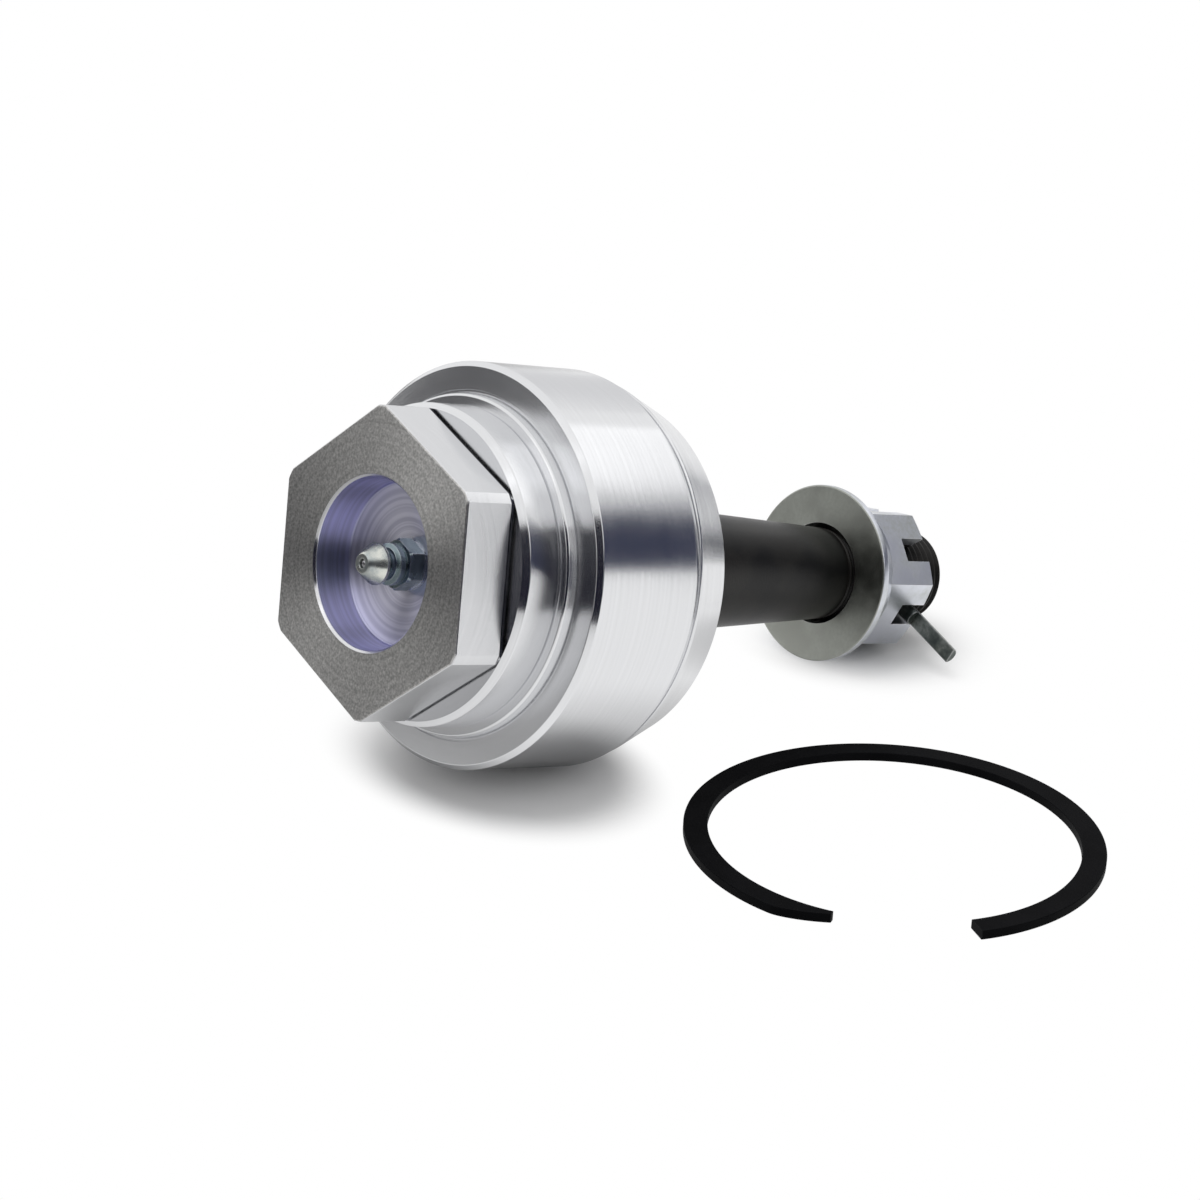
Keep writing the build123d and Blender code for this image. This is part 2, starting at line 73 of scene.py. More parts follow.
# How finely the pieces are made
TURN_STEPS = 360
SMALL_STEPS = 120
BALL_STEPS = 60
COIL_STEPS = 40
WIRE_SIDES = 16
PIN_SIDES = 32
EYE_STEPS = 40
BEND_STEPS = 8
RING_STEPS = 240
CARD_STEPS = 32
BOOT_LOOPS = 12
ROUND_SEGMENTS = 4
SHARP_ANGLE = radians(26)

# Millimetres: points closer than WELD are one, stations closer than SAME_PLACE are the
# same, and a cutter reaches OVERSHOOT past what it cuts.
WELD = 0.0002
SAME_PLACE = 0.002
OVERSHOOT = 1

# The snap ring's nose: how it narrows along its length, and the share of its length that
# still counts as its tip.
NOSE_CURVE = 1.2
NOSE_END = 1.01

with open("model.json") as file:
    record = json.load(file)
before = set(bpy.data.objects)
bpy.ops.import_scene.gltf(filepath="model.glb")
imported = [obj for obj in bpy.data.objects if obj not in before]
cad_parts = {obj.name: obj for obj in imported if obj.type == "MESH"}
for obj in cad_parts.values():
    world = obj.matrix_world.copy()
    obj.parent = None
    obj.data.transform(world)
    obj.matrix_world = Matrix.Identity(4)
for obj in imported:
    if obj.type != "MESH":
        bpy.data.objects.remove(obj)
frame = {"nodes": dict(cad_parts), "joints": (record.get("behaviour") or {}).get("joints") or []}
cad_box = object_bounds()
joints = {joint["name"]: joint for joint in frame["joints"]}

# The joint's axis runs from the grease fitting to the castle nut through the origin,
# the centre of the ball. A station is a distance along it, positive towards the nut.
AXIS = Vector(joints["stud_spin"]["axis"]).normalized()
SIDE = Vector((0, 1, 0))
LIFT = AXIS.cross(SIDE)
AXIS_FRAME = Matrix((AXIS, SIDE, LIFT)).transposed().to_4x4()

# Turns a circle from the plane in which it is made to a plane across the axis.
ACROSS = Matrix(((0, 0, 1, 0), (1, 0, 0, 0), (0, 1, 0, 0), (0, 0, 0, 1)))


def reach(node):
    """First station, last station and largest radius of a CAD node, in millimetres."""
    to_axis = AXIS_FRAME.inverted()
    points = [to_axis @ vert.co for vert in frame["nodes"][node].data.vertices]
    stations = [point.x for point in points]
    radius = max(hypot(point.y, point.z) for point in points)
    return tuple(round(value / MM, 3) for value in (min(stations), max(stations), radius))


HOUSING_FRONT, HOUSING_END, HOUSING_R = reach("housing")
CAP_FRONT, CAP_END, CAP_R = reach("threaded_cap")
FITTING_FRONT, FITTING_END, _ = reach("grease_fitting")
_, STUD_END, BALL_R = reach("ball_stud")
NUT_FRONT, NUT_END, NUT_FLANGE_R = reach("castle_nut")
FLOOR = cad_box[0].z


def size(name, description, millimetres):
    """A length property whose default is given in millimetres."""
    return FloatProperty(
        name=name,
        description=description,
        default=millimetres * MM,
        unit="LENGTH",
        precision=5,
    )


def turn(name, description, angle):
    """An angle property whose default is given in degrees."""
    return FloatProperty(
        name=name, description=description, default=radians(angle), subtype="ANGLE"
    )


def colour(name, description, shade):
    """A colour property with linear values."""
    return FloatVectorProperty(
        name=name,
        description=description,
        default=shade,
        min=0.0,
        max=1.0,
        subtype="COLOR",
    )


class HousingSizes(bpy.types.PropertyGroup):
    """Sizes of the pressed housing."""

    bore_r: size("Thread bore", "Radius of the bore that takes the cap", 24.1)
    seat_bore_r: size("Seat bore", "Radius of the bore that holds the seats", 22.1)
    boss_r: size("Boss", "Radius of the front boss", 26.5)
    boss_len: size("Boss length", "Boss in front of the shoulder", 1.7)
    boss_flare: size("Boss flare", "Widening of the boss towards the shoulder", 0.6)
    relief: size("Relief", "Width of the groove at the foot of the boss", 0.4)
    shoulder_chamfer: size("Shoulder chamfer", "Bevel at the shoulder's rim", 0.8)
    press_end: size("Press end", "Station where the pressed diameter ends", 3.6)
    groove_len: size("Ring groove", "Width of the snap ring's groove", 1.6)
    groove_depth: size("Groove depth", "Depth of the snap ring's groove", 1.1)
    land_drop: size("Land drop", "Step down from the press to the rear land", 0.7)
    land_len: size("Land length", "Length of the rear land", 0.5)
    rear_face: size("Rear face", "Station of the rear face", 14.1)
    rear_r: size("Rear rim", "Radius of the rear face's rim", 28.15)
    rear_chamfer: size("Rear chamfer", "Bevel at the rear face's rim", 0.3)
    groove_r: size("Boot groove", "Radius of the groove for the boot", 20.5)
    boot_groove_len: size("Boot groove length", "Width of the boot's groove", 2.6)
    lip_r: size("Boot lip", "Radius of the lip that holds the boot", 21.2)
    mouth_r: size("Mouth", "Radius of the rear mouth at its end", 18.6)
    throat_r: size("Throat", "Radius of the rear mouth at the seat", 16.2)
    throat: size("Throat station", "Station of the wall that holds the seat", 11.0)
    bore_end: size("Bore end", "Station where the thread bore ends", -9.0)
    edge: size("Edge", "Rounding of the turned edges", 0.1)


class CapSizes(bpy.types.PropertyGroup):
    """Sizes of the hexagonal threaded cap."""

    hex_len: size("Hexagon length", "Length of the hexagon with its undercut", 9.4)
    apothem: size("Flats", "Distance of a flat from the axis", 21.4)
    corner: turn("Corner", "Half the angle that a rounded corner spans", 2.0)
    hex_turn: turn("Hexagon turn", "Angle of the first corner from the side", 18.7)
    chamfer: size("Front chamfer", "Bevel of the hexagon's front rim", 0.3)
    undercut_len: size("Undercut", "Width of the undercut behind the flats", 0.5)
    undercut_depth: size("Undercut depth", "Depth of the undercut", 0.45)
    collar_chamfer: size("Collar chamfer", "Bevel at the collar's front", 0.9)
    collar_edge: size("Collar edge", "Bevel at the collar's rear", 0.25)
    skirt_r: size("Skirt", "Radius of the threaded skirt", 24.0)
    seal_start: size("Seal groove", "Distance of the seal groove from the collar", 0.5)
    seal_len: size("Seal groove width", "Width of the seal groove", 1.6)
    seal_r: size("Seal groove radius", "Radius of the seal groove's floor", 22.9)
    inner_r: size("Skirt bore", "Radius inside the skirt", 22.1)
    shoulder: size("Shim shoulder", "Station of the wall behind the shim", -15.9)
    cavity_r: size("Cavity", "Radius of the grease cavity", 14.3)
    cavity_end: size("Cavity end", "Station of the cavity's floor", -22.0)
    recess_r: size("Recess", "Radius of the front recess", 13.3)
    recess_edge: size("Recess edge", "Bevel at the recess's rim", 0.4)
    floor_r: size("Recess floor", "Radius of the recess at its floor", 12.8)
    recess_depth: size("Recess depth", "Depth of the recess at its wall", 6.6)
    dish: size("Dish", "Further depth of the floor at the fitting", 1.7)
    fitting_r: size("Fitting seat", "Radius of the flat under the fitting", 4.1)
    hole_r: size("Fitting hole", "Radius of the hole for the fitting", 3.15)
    edge: size("Edge", "Rounding of the turned edges", 0.1)


class FittingSizes(bpy.types.PropertyGroup):
    """Sizes of the grease fitting."""

    tip_r: size("Tip", "Radius of the flat tip", 1.8)
    tip_edge: size("Tip edge", "Bevel round the tip", 0.3)
    head_r: size("Head", "Radius of the head and the collar", 3.3)
    head_len: size("Head length", "Length of the head's cone", 2.5)
    land: size("Head land", "Straight part of the head", 0.4)
    back: size("Head back", "Length of the cone behind the head", 0.9)
    neck_r: size("Neck", "Radius of the neck", 2.5)
    neck_len: size("Neck length", "Length of the neck", 1.0)
    collar_len: size("Collar", "Length of the collar behind the neck", 1.5)
    hex_start: size("Hexagon front", "Station of the hexagon's front", -29.8)
    hex_end: size("Hexagon rear", "Station of the hexagon's rear", -26.7)
    apothem: size("Flats", "Distance of a flat from the axis", 3.55)
    hex_face: size("Hexagon face", "Reach of the hexagon's flat ends past its flats", 0.2)
    hex_turn: turn("Hexagon turn", "Angle of the first corner from the side", 20.0)
    shank_r: size("Shank", "Radius of the shank", 3.1)
    inlet_r: size("Inlet", "Radius of the inlet", 0.725)
    inlet_len: size("Inlet length", "Depth of the inlet", 0.5)
    chamber_r: size("Chamber", "Radius of the check ball's chamber", 1.0)
    chamber_len: size("Chamber length", "Length of the check ball's chamber", 4.9)
    outlet_r: size("Outlet", "Radius of the outlet", 0.6)
    ball_r: size("Check ball", "Radius of the check ball", 0.9)
    ball_lift: size("Ball lift", "Way the check ball presses the spring back", 0.85)
    coil_r: size("Coil", "Radius of the spring's coils", 0.7)
    wire_r: size("Wire", "Radius of the spring's wire", 0.12)
    coil_count: IntProperty(name="Coils", description="Turns of the spring", default=6)
    edge: size("Edge", "Rounding of the turned edges", 0.08)


class StudSizes(bpy.types.PropertyGroup):
    """Sizes of the ball stud."""

    neck_r: size("Neck", "Radius behind the ball", 8.0)
    neck_end: size("Neck end", "Station where the neck widens", 22.4)
    flare: size("Flare", "Length over which the neck widens", 2.0)
    land_r: size("Boot land", "Radius of the land for the boot", 9.6)
    land_len: size("Boot land length", "Length of the land for the boot", 4.8)
    lead: size("Taper lead", "Length of the step up to the taper", 0.4)
    taper_r: size("Taper end", "Radius of the taper at the nut", 8.0)
    thread_lead: size("Thread lead", "Start of the thread in front of the nut", 0.5)
    taper: FloatProperty(
        name="Taper", description="Radius gained per length along the taper", default=0.0625
    )
    thread_r: size("Thread", "Radius of the thread's crests", 7.94)
    thread_depth: size("Thread depth", "Depth of the thread", 0.75)
    pitch: size("Pitch", "Length of one thread turn", 1.411)
    crest: size("Crest", "Width of the thread's flat crest", 0.2)
    chamfer: size("End chamfer", "Bevel at the threaded end", 1.0)
    edge: size("Edge", "Rounding of the turned edges", 0.15)


class NutSizes(bpy.types.PropertyGroup):
    """Sizes of the castle nut."""

    rim: size("Flange rim", "Straight part of the flange", 1.3)
    rim_edge: size("Flange edge", "Bevel at the flange's front", 0.2)
    cone_len: size("Cone", "Length of the cone behind the flange", 4.4)
    cone_r: size("Cone top", "Radius of the cone at its small end", 12.6)
    apothem: size("Flats", "Distance of a flat from the axis", 11.5)
    hex_turn: turn("Hexagon turn", "Angle of the first corner from the side", 111.0)
    end_r: size("End circle", "Radius of the end face", 11.3)
    end_angle: turn("End bevel", "Slope of the end bevel", 30.0)
    bore_r: size("Bore", "Radius of the threaded bore", 7.99)
    bore_edge: size("Bore bevel", "Bevel at the bore's mouth", 0.9)
    slot: size("Slot", "Width of a slot", 4.3)
    slot_depth: size("Slot depth", "Depth of a slot", 6.0)
    edge: size("Edge", "Rounding of the edges", 0.12)


class PinSizes(bpy.types.PropertyGroup):
    """Sizes of the cotter pin."""

    leg_r: size("Leg", "Radius of the two legs together", 1.45)
    split: size("Split", "Gap between the legs", 0.1)
    angle: turn("Direction", "Angle of the legs from the side", 201.0)
    from_end: size("From the nut's end", "Pin axis in front of the nut's end", 2.2)
    long_leg: size("Long leg", "Reach of the long leg from the axis", 23.0)
    short_leg: size("Short leg", "Reach of the short leg from the axis", 12.6)
    eye_centre: size("Eye centre", "Distance of the eye from the axis", 14.3)
    eye_r: size("Eye", "Radius inside the eye", 1.3)
    bend_r: size("Bend", "Radius of the bend between a leg and the eye", 1.7)
    edge: size("Edge", "Rounding of the legs' sharp edges", 0.08)


class BootSizes(bpy.types.PropertyGroup):
    """Sizes of the dust boot and its clips."""

    wall: size("Wall", "Thickness of the boot's wall", 1.3)
    bead_r: size("Bead", "Outer radius of the bead", 22.6)
    gap: size("Gap", "Clearance round the rubber", 0.3)
    fold_station: size("Fold", "Station of the fold's middle", 21.5)
    fold_r: size("Fold radius", "Radius of the fold's middle", 19.6)
    neck_start: size("Neck start", "Station where the neck starts", 25.2)
    neck_r: size("Neck", "Inner radius of the neck", 10.79)
    neck_wall: size("Neck wall", "Thickness of the neck", 1.2)
    neck_len: size("Neck length", "Length of the neck", 3.1)
    dome_r: size("Dome end", "Radius where the dome meets the neck", 14.2)


class RingSizes(bpy.types.PropertyGroup):
    """Sizes of the snap ring."""

    outer_r: size("Outside", "Outer radius", 32.8)
    width: size("Width", "Width of the flat section", 3.8)
    thickness: size("Thickness", "Thickness of the flat section", 1.5)
    square_end: turn("Square end", "Angle of the square end", -113.5)
    nose_start: turn("Nose start", "Angle where the nose starts to narrow", 190.0)
    nose_tip: turn("Nose tip", "Angle of the nose's tip", 205.5)
    nose_drop: size("Nose drop", "Narrowing of the nose at its tip", 2.8)
    edge: size("Edge", "Rounding of the edges", 0.18)


class Finishes(bpy.types.PropertyGroup):
    """Colours of the finishes."""

    turned: colour("Turned steel", "Housing and cap", (0.78, 0.785, 0.80))
    front_face: colour("Front face", "The cap's satin front face", (0.88, 0.87, 0.85))
    passivation: colour("Passivation", "Violet cast of the recess's floor", (0.88, 0.87, 0.98))
    # Painted shade: the recess's wall is a darker copy of its floor's violet cast.
    recess_wall_shade: colour("Recess wall", "Violet cast of the recess's wall", (0.50, 0.50, 0.72))
    zinc: colour("Zinc", "Castle nut", (0.70, 0.72, 0.78))
    # Painted shade: the flange face is a darker copy of the zinc, for its dim reflection.
    flange: colour("Flange face", "Duller face of the nut's flange", (0.34, 0.35, 0.32))
    zinc_stain: colour("Zinc stain", "Dull patches on the castle nut", (0.46, 0.48, 0.44))
    worn_zinc: colour("Worn zinc", "Rubbed edges of the plated pieces", (0.9, 0.9, 0.9))
    mouth: colour("Nut mouth", "Shade in the bevel of the nut's bore", (0.01, 0.01, 0.01))
    undercut: colour("Undercut", "Shade in the groove behind the flats", (0.02, 0.02, 0.03))
    fitting: colour("Fitting", "Pale head of the grease fitting", (0.70, 0.71, 0.66))
    # Painted shade: the fitting's neck and hexagon are a dark copy of its pale plating.
    fitting_hex: colour("Fitting hexagon", "Neck and hexagon of the fitting", (0.24, 0.30, 0.33))
    phosphate: colour("Phosphate", "Ball stud", (0.003, 0.003, 0.003))
    phosphate_rub: colour("Rubbed phosphate", "Worn parts of the stud", (0.03, 0.027, 0.023))
    pin: colour("Pin steel", "Cotter pin", (0.085, 0.10, 0.095))
    oxide: colour("Black oxide", "Snap ring", (0.0015, 0.0015, 0.002))
    oxide_rub: colour("Rubbed oxide", "Worn parts of the ring", (0.006, 0.006, 0.007))
    rubber: colour("Rubber", "Boot and seal", (0.022, 0.022, 0.024))
    band: colour("Band steel", "Boot clips", (0.55, 0.56, 0.58))
    spring: colour("Spring steel", "Springs and shim", (0.20, 0.20, 0.22))
    ground: colour("Ground steel", "Seats, plate and check ball", (0.45, 0.45, 0.47))
    plastic: colour("Bush plastic", "Bush in the boot's neck", (0.70, 0.68, 0.60))


class StageSettings(bpy.types.PropertyGroup):
    """Camera, light and floor."""

    camera_place: FloatVectorProperty(
        name="Camera",
        description="Place of the camera",
        default=(-0.29317, -0.337402, 0.176606),
        subtype="TRANSLATION",
        unit="LENGTH",
        precision=5,
    )
    azimuth: turn("Azimuth", "Camera's side of the object, from the front", -42.296)
    elevation: turn("Elevation", "Camera's height above the horizon", 22.14)
    roll: turn("Roll", "Turn of the camera about its line of sight", 2.5)
    lens: FloatProperty(
        name="Lens",
        description="Focal length on a 36 mm sensor, in millimetres",
        default=90.0,
    )
    floor_r: FloatProperty(
        name="Floor", description="Radius of the floor", default=3.0, unit="LENGTH"
    )
    fill: FloatProperty(
        name="Fill", description="World light on the object", default=0.66, min=0.0
    )
    key: FloatProperty(
        name="Key", description="Power of the overhead softbox in watts", default=5.6, min=0.0
    )


SIZE_GROUPS = {
    "housing": HousingSizes,
    "cap": CapSizes,
    "fitting": FittingSizes,
    "stud": StudSizes,
    "nut": NutSizes,
    "pin": PinSizes,
    "boot": BootSizes,
    "ring": RingSizes,
    "finishes": Finishes,
    "stage": StageSettings,
}


def sizes(context, name):
    """The sizes of one part, its lengths in millimetres, its angles and numbers as they are."""
    group = getattr(context.scene, "ball_joint_" + name)
    values = {}
    for prop in group.bl_rna.properties:
        if prop.type == "FLOAT" and prop.unit == "LENGTH":
            values[prop.identifier] = round(getattr(group, prop.identifier) / MM, 4)
        elif prop.identifier not in ("rna_type", "name"):
            values[prop.identifier] = getattr(group, prop.identifier)
    return SimpleNamespace(**values)


# Mesh helpers. Meshes are made in millimetres with the joint's axis along X, and moved
# into the row frame when they are finished.


def bevel(bm, parts, offset, affect="VERTICES", segments=ROUND_SEGMENTS):
    """Rounds corners or edges of a mesh."""
    bmesh.ops.bevel(
        bm,
        geom=parts,
        offset=offset,
        offset_type="OFFSET",
        affect=affect,
        segments=segments,
        profile=0.5,
        material=-1,
        clamp_overlap=True,
    )


def spin(bm, parts, axis, angle, steps, centre=(0, 0, 0), advance=(0, 0, 0), **merging):
    """Sweeps parts of a mesh about an axis and gives the faces that end the sweep."""
    made = bmesh.ops.spin(
        bm,
        geom=parts,
        cent=centre,
        axis=axis,
        dvec=advance,
        angle=angle,
        steps=steps,
        **merging,
    )
    return only(bmesh.types.BMFace, made["geom_last"])


def push(bm, faces, offset):
    """Extrudes faces by an offset and gives the new ones."""
    grown = bmesh.ops.extrude_face_region(bm, geom=faces)["geom"]
    bmesh.ops.translate(bm, verts=only(bmesh.types.BMVert, grown), vec=offset)
    return only(bmesh.types.BMFace, grown)


def only(kind, parts):
    """The parts of one kind."""
    return [part for part in parts if isinstance(part, kind)]


def slice_at(bm, station, **cleared):
    """Cuts a mesh across at a station, and may clear one side."""
    bmesh.ops.bisect_plane(
        bm,
        geom=bm.verts[:] + bm.edges[:] + bm.faces[:],
        plane_co=(station, 0, 0),
        plane_no=(1, 0, 0),
        **cleared,
    )


def spun(outline, closed=True, steps=TURN_STEPS):
    """A mesh spun once round the axis from (station, radius, corner rounding) points.

    An open outline has both ends on the axis, or at a ring that other faces join.
    """
    bm = bmesh.new()
    corners = [bm.verts.new((point[0], point[1], 0)) for point in outline]
    bm.faces.new(corners)
    first, last = corners[0], corners[-1]
    for rounding in sorted({point[2] for point in outline} - {0}):
        picked = [vert for vert, point in zip(corners, outline) if point[2] == rounding]
        bevel(bm, picked, rounding)
    bmesh.ops.delete(bm, geom=bm.faces[:], context="FACES_ONLY")
    if not closed:
        closing = [edge for edge in first.link_edges if edge.other_vert(first) is last]
        bmesh.ops.delete(bm, geom=closing, context="EDGES")
    spin(bm, bm.verts[:] + bm.edges[:], (1, 0, 0), 2 * pi, steps, use_merge=True)
    bmesh.ops.remove_doubles(bm, verts=bm.verts[:], dist=WELD)
    return bm


def open_ring(bm, station):
    """The open edges of a mesh that lie across the axis at a station."""
    return [
        edge
        for edge in bm.edges
        if edge.is_boundary and all(abs(v.co.x - station) < SAME_PLACE for v in edge.verts)
    ]


def hexagon_ring(bm, station, apothem, corner_r, steps=TURN_STEPS):
    """A ring of edges on a hexagon whose corners stop at a circle, one at angle zero."""
    place = Matrix.Translation((station, 0, 0)) @ ACROSS
    made = bmesh.ops.create_circle(bm, radius=corner_r, segments=steps, matrix=place)
    for vert in made["verts"]:
        angle = atan2(vert.co.z, vert.co.y)
        flat_r = apothem / cos(angle % (pi / 3) - pi / 6)
        if flat_r < corner_r:
            vert.co.y *= flat_r / corner_r
            vert.co.z *= flat_r / corner_r
    return list({edge for vert in made["verts"] for edge in vert.link_edges})


def bridge(bm, *rings):
    """Faces between each ring of edges and the next."""
    for ring, following in zip(rings, rings[1:]):
        bmesh.ops.bridge_loops(bm, edges=ring + following)


def rotated(bm, angle):
    """The mesh turned about the axis."""
    bmesh.ops.rotate(
        bm, cent=(0, 0, 0), matrix=Matrix.Rotation(angle, 3, "X"), verts=bm.verts[:]
    )
    return bm


def linked(name, data):
    """A new object in the scene."""
    made = bpy.data.objects.new(name, data)
    bpy.context.scene.collection.objects.link(made)
    return made


def mesh_object(bm, name):
    """A new object whose mesh is taken from a bmesh, which ends there."""
    mesh = bpy.data.meshes.new(name)
    bm.to_mesh(mesh)
    bm.free()
    return linked(name, mesh)


def finished(bm, name, place=AXIS_FRAME):
    """An object from a millimetre mesh, smooth between its sharp edges."""
    bmesh.ops.remove_doubles(bm, verts=bm.verts[:], dist=WELD)
    bmesh.ops.recalc_face_normals(bm, faces=bm.faces[:])
    for face in bm.faces:
        face.smooth = True
    for edge in bm.edges:
        edge.smooth = edge.is_manifold and edge.calc_face_angle(0) < SHARP_ANGLE
    bmesh.ops.transform(bm, matrix=place @ Matrix.Scale(MM, 4), verts=bm.verts[:])
    return mesh_object(bm, name)


def dress(piece, material, body, node):
    """Gives a piece its finish and its CAD body, and hides the CAD node it stands in for."""
    piece.data.materials.append(bpy.data.materials[material])
    weighted = piece.modifiers.new("Weighted normals", "WEIGHTED_NORMAL")
    weighted.keep_sharp = True
    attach(piece, body)
    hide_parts(node)


def combined(target, cutter, operation):
    """The target's mesh after a boolean with a cutter, which is removed."""
    modifier = target.modifiers.new("Cut", "BOOLEAN")
    modifier.object = cutter
    modifier.operation = operation
    modifier.solver = "EXACT"
    evaluated = target.evaluated_get(bpy.context.evaluated_depsgraph_get())
    mesh = bpy.data.meshes.new_from_object(evaluated)
    target.modifiers.clear()
    target.data = mesh
    bpy.data.objects.remove(cutter)
    return target


def plain_object(bm, name):
    """An unfinished object in millimetres, for a boolean."""
    bmesh.ops.recalc_face_normals(bm, faces=bm.faces[:])
    return mesh_object(bm, name)


# Node helpers

# The middle of a noise's values, which spreads over nearly all of them
NOISE_MIDDLE = (0.35, 0.65)
# How well a rounded normal agrees with a flat one where wear begins and is full
WORN_EDGE = (0.995, 0.90)
TURNED_ROUGHNESS = 0.13

# Millimetres: where the undercut's painted shade begins and is full, by height over the axis,
# how far plating fades at a step and painted shade in a bore's mouth, and where the
# fitting's pale head ends behind its land.
UNDERCUT_SHADE = (-9, -7)
PLATING_FADE = 0.1
MOUTH_FADE = 0.15
PALE_PAST_LAND = 0.5


def add(tree, kind, **settings):
    """A new node with its settings."""
    made = tree.nodes.new(kind)
    for key, value in settings.items():
        setattr(made, key, value)
    return made


def feed(tree, target, value):
    """Links a socket to an input, or sets the input to a plain value."""
    if isinstance(value, bpy.types.NodeSocket):
        tree.links.new(value, target)
    else:
        target.default_value = value


def calc(tree, operation, *values):
    """The output of a Math node."""
    made = add(tree, "ShaderNodeMath", operation=operation)
    for socket, value in zip(made.inputs, values):
        feed(tree, socket, value)
    return made.outputs[0]


def product(tree, first, *others):
    """Some values multiplied."""
    for value in others:
        first = calc(tree, "MULTIPLY", first, value)
    return first


def vector_calc(tree, operation, *values):
    """The output of a Vector Math node, a number where its operation gives one."""
    made = add(tree, "ShaderNodeVectorMath", operation=operation)
    for socket, value in zip(made.inputs, values):
        feed(tree, socket, value)
    return made.outputs["Value" if operation in ("DOT_PRODUCT", "LENGTH") else "Vector"]


def scaled(tree, vector, factor):
    """A vector times a number."""
    made = add(tree, "ShaderNodeVectorMath", operation="SCALE")
    feed(tree, made.inputs[0], vector)
    feed(tree, made.inputs["Scale"], factor)
    return made.outputs[0]


def spread(tree, value, low, high, to_low=0.0, to_high=1.0):
    """A value mapped from one range to another, smoothly and kept inside."""
    made = add(tree, "ShaderNodeMapRange", interpolation_type="SMOOTHSTEP")
    for socket, number in zip(made.inputs, (value, low, high, to_low, to_high)):
        feed(tree, socket, number)
    return made.outputs[0]


def fade(tree, value, none, full, most=1.0):
    """Spreads a length's way from none to full, in millimetres, over 0 to the most."""
    return spread(tree, value, none * MM, full * MM, 0.0, most)


def noise(tree, detail, dimensions="3D", **inputs):
    """The output of a Noise Texture whose scale is in its place."""
    made = add(tree, "ShaderNodeTexNoise", noise_dimensions=dimensions)
    made.inputs["Scale"].default_value = 1.0
    made.inputs["Detail"].default_value = detail
    for name, value in inputs.items():
        feed(tree, made.inputs[name], value)
    return made.outputs[0]


def mix(tree, factor, first, second):
    """A colour between two colours."""
    made = add(tree, "ShaderNodeMix", data_type="RGBA")
    feed(tree, made.inputs[0], factor)
    feed(tree, made.inputs[6], first)
    feed(tree, made.inputs[7], second)
    return made.outputs[2]


def opaque(shade, share=1.0):
    """A colour with full alpha, at a share of its brightness."""
    return (*(share * value for value in shade), 1.0)


def new_group(name, inputs, outputs):
    """A node group with named value inputs and outputs, and its two ends."""
    tree = bpy.data.node_groups.new(name, "ShaderNodeTree")
    for label, kind, default in inputs:
        socket = tree.interface.new_socket(label, in_out="INPUT", socket_type=kind)
        if default is not None:
            socket.default_value = default
    for label in outputs:
        tree.interface.new_socket(label, in_out="OUTPUT", socket_type="NodeSocketFloat")
    return tree, add(tree, "NodeGroupInput").outputs, add(tree, "NodeGroupOutput").inputs


def make_turning_group():
    """Rings left by a lathe tool, by radius on faces and by station on diameters."""
    tree, given, out = new_group(
        "Turning Marks",
        (
            ("Place", "NodeSocketVector", None),
            ("Fine", "NodeSocketFloat", 4000.0),
            ("Coarse", "NodeSocketFloat", 900.0),
        ),
        ("Marks", "Bands", "Station", "Radius"),
    )
    station = vector_calc(tree, "DOT_PRODUCT", given["Place"], AXIS)
    on_axis = scaled(tree, tuple(AXIS), station)
    radius = vector_calc(tree, "LENGTH", vector_calc(tree, "SUBTRACT", given["Place"], on_axis))
    walk = calc(tree, "ADD", station, radius)
    feed(tree, out["Marks"], noise(tree, 2.0, "1D", W=product(tree, walk, given["Fine"])))
    feed(tree, out["Bands"], noise(tree, 3.0, "1D", W=product(tree, walk, given["Coarse"])))
    feed(tree, out["Station"], station)
    feed(tree, out["Radius"], radius)


def make_mottle_group():
    """Soft patches and fine specks over a surface."""
    tree, given, out = new_group(
        "Mottle",
        (
            ("Place", "NodeSocketVector", None),
            ("Patch Size", "NodeSocketFloat", 90.0),
            ("Speck Size", "NodeSocketFloat", 1800.0),
        ),
        ("Patches", "Specks"),
    )
    patches = noise(tree, 4.0, Vector=scaled(tree, given["Place"], given["Patch Size"]))
    specks = noise(tree, 2.0, Vector=scaled(tree, given["Place"], given["Speck Size"]))
    feed(tree, out["Patches"], spread(tree, patches, *NOISE_MIDDLE))
    feed(tree, out["Specks"], specks)


def make_wear_group():
    """Edges that rubbing has brightened."""
    tree, given, out = new_group(
        "Edge Wear",
        (("Width", "NodeSocketFloat", 0.0003), ("Breakup", "NodeSocketFloat", 0.5)),
        ("Wear",),
    )
    rounded = add(tree, "ShaderNodeBevel", samples=6)
    feed(tree, rounded.inputs["Radius"], given["Width"])
    flat = add(tree, "ShaderNodeNewGeometry").outputs["Normal"]
    agreement = vector_calc(tree, "DOT_PRODUCT", rounded.outputs[0], flat)
    worn = product(tree, spread(tree, agreement, *WORN_EDGE), given["Breakup"])
    feed(tree, out["Wear"], calc(tree, "MINIMUM", worn, 1.0))


def new_material(name):
    """A node material with its shader and the place on the object."""
    material = bpy.data.materials.new(name)
    material.use_nodes = True
    tree = material.node_tree
    place = add(tree, "ShaderNodeTexCoord").outputs["Object"]
    return tree, tree.nodes["Principled BSDF"], place


def stage_material(piece, name):
    """A material for a piece of the stage, without a shader, and where one goes."""
    material = bpy.data.materials.new(name)
    material.use_nodes = True
    piece.data.materials.append(material)
    tree = material.node_tree
    tree.nodes.remove(tree.nodes["Principled BSDF"])
    return tree, tree.nodes["Material Output"].inputs["Surface"]


def use_group(tree, group, **inputs):
    """The outputs of a node group placed in a material."""
    made = add(tree, "ShaderNodeGroup", node_tree=bpy.data.node_groups[group])
    for name, value in inputs.items():
        feed(tree, made.inputs[name.replace("_", " ")], value)
    return made.outputs


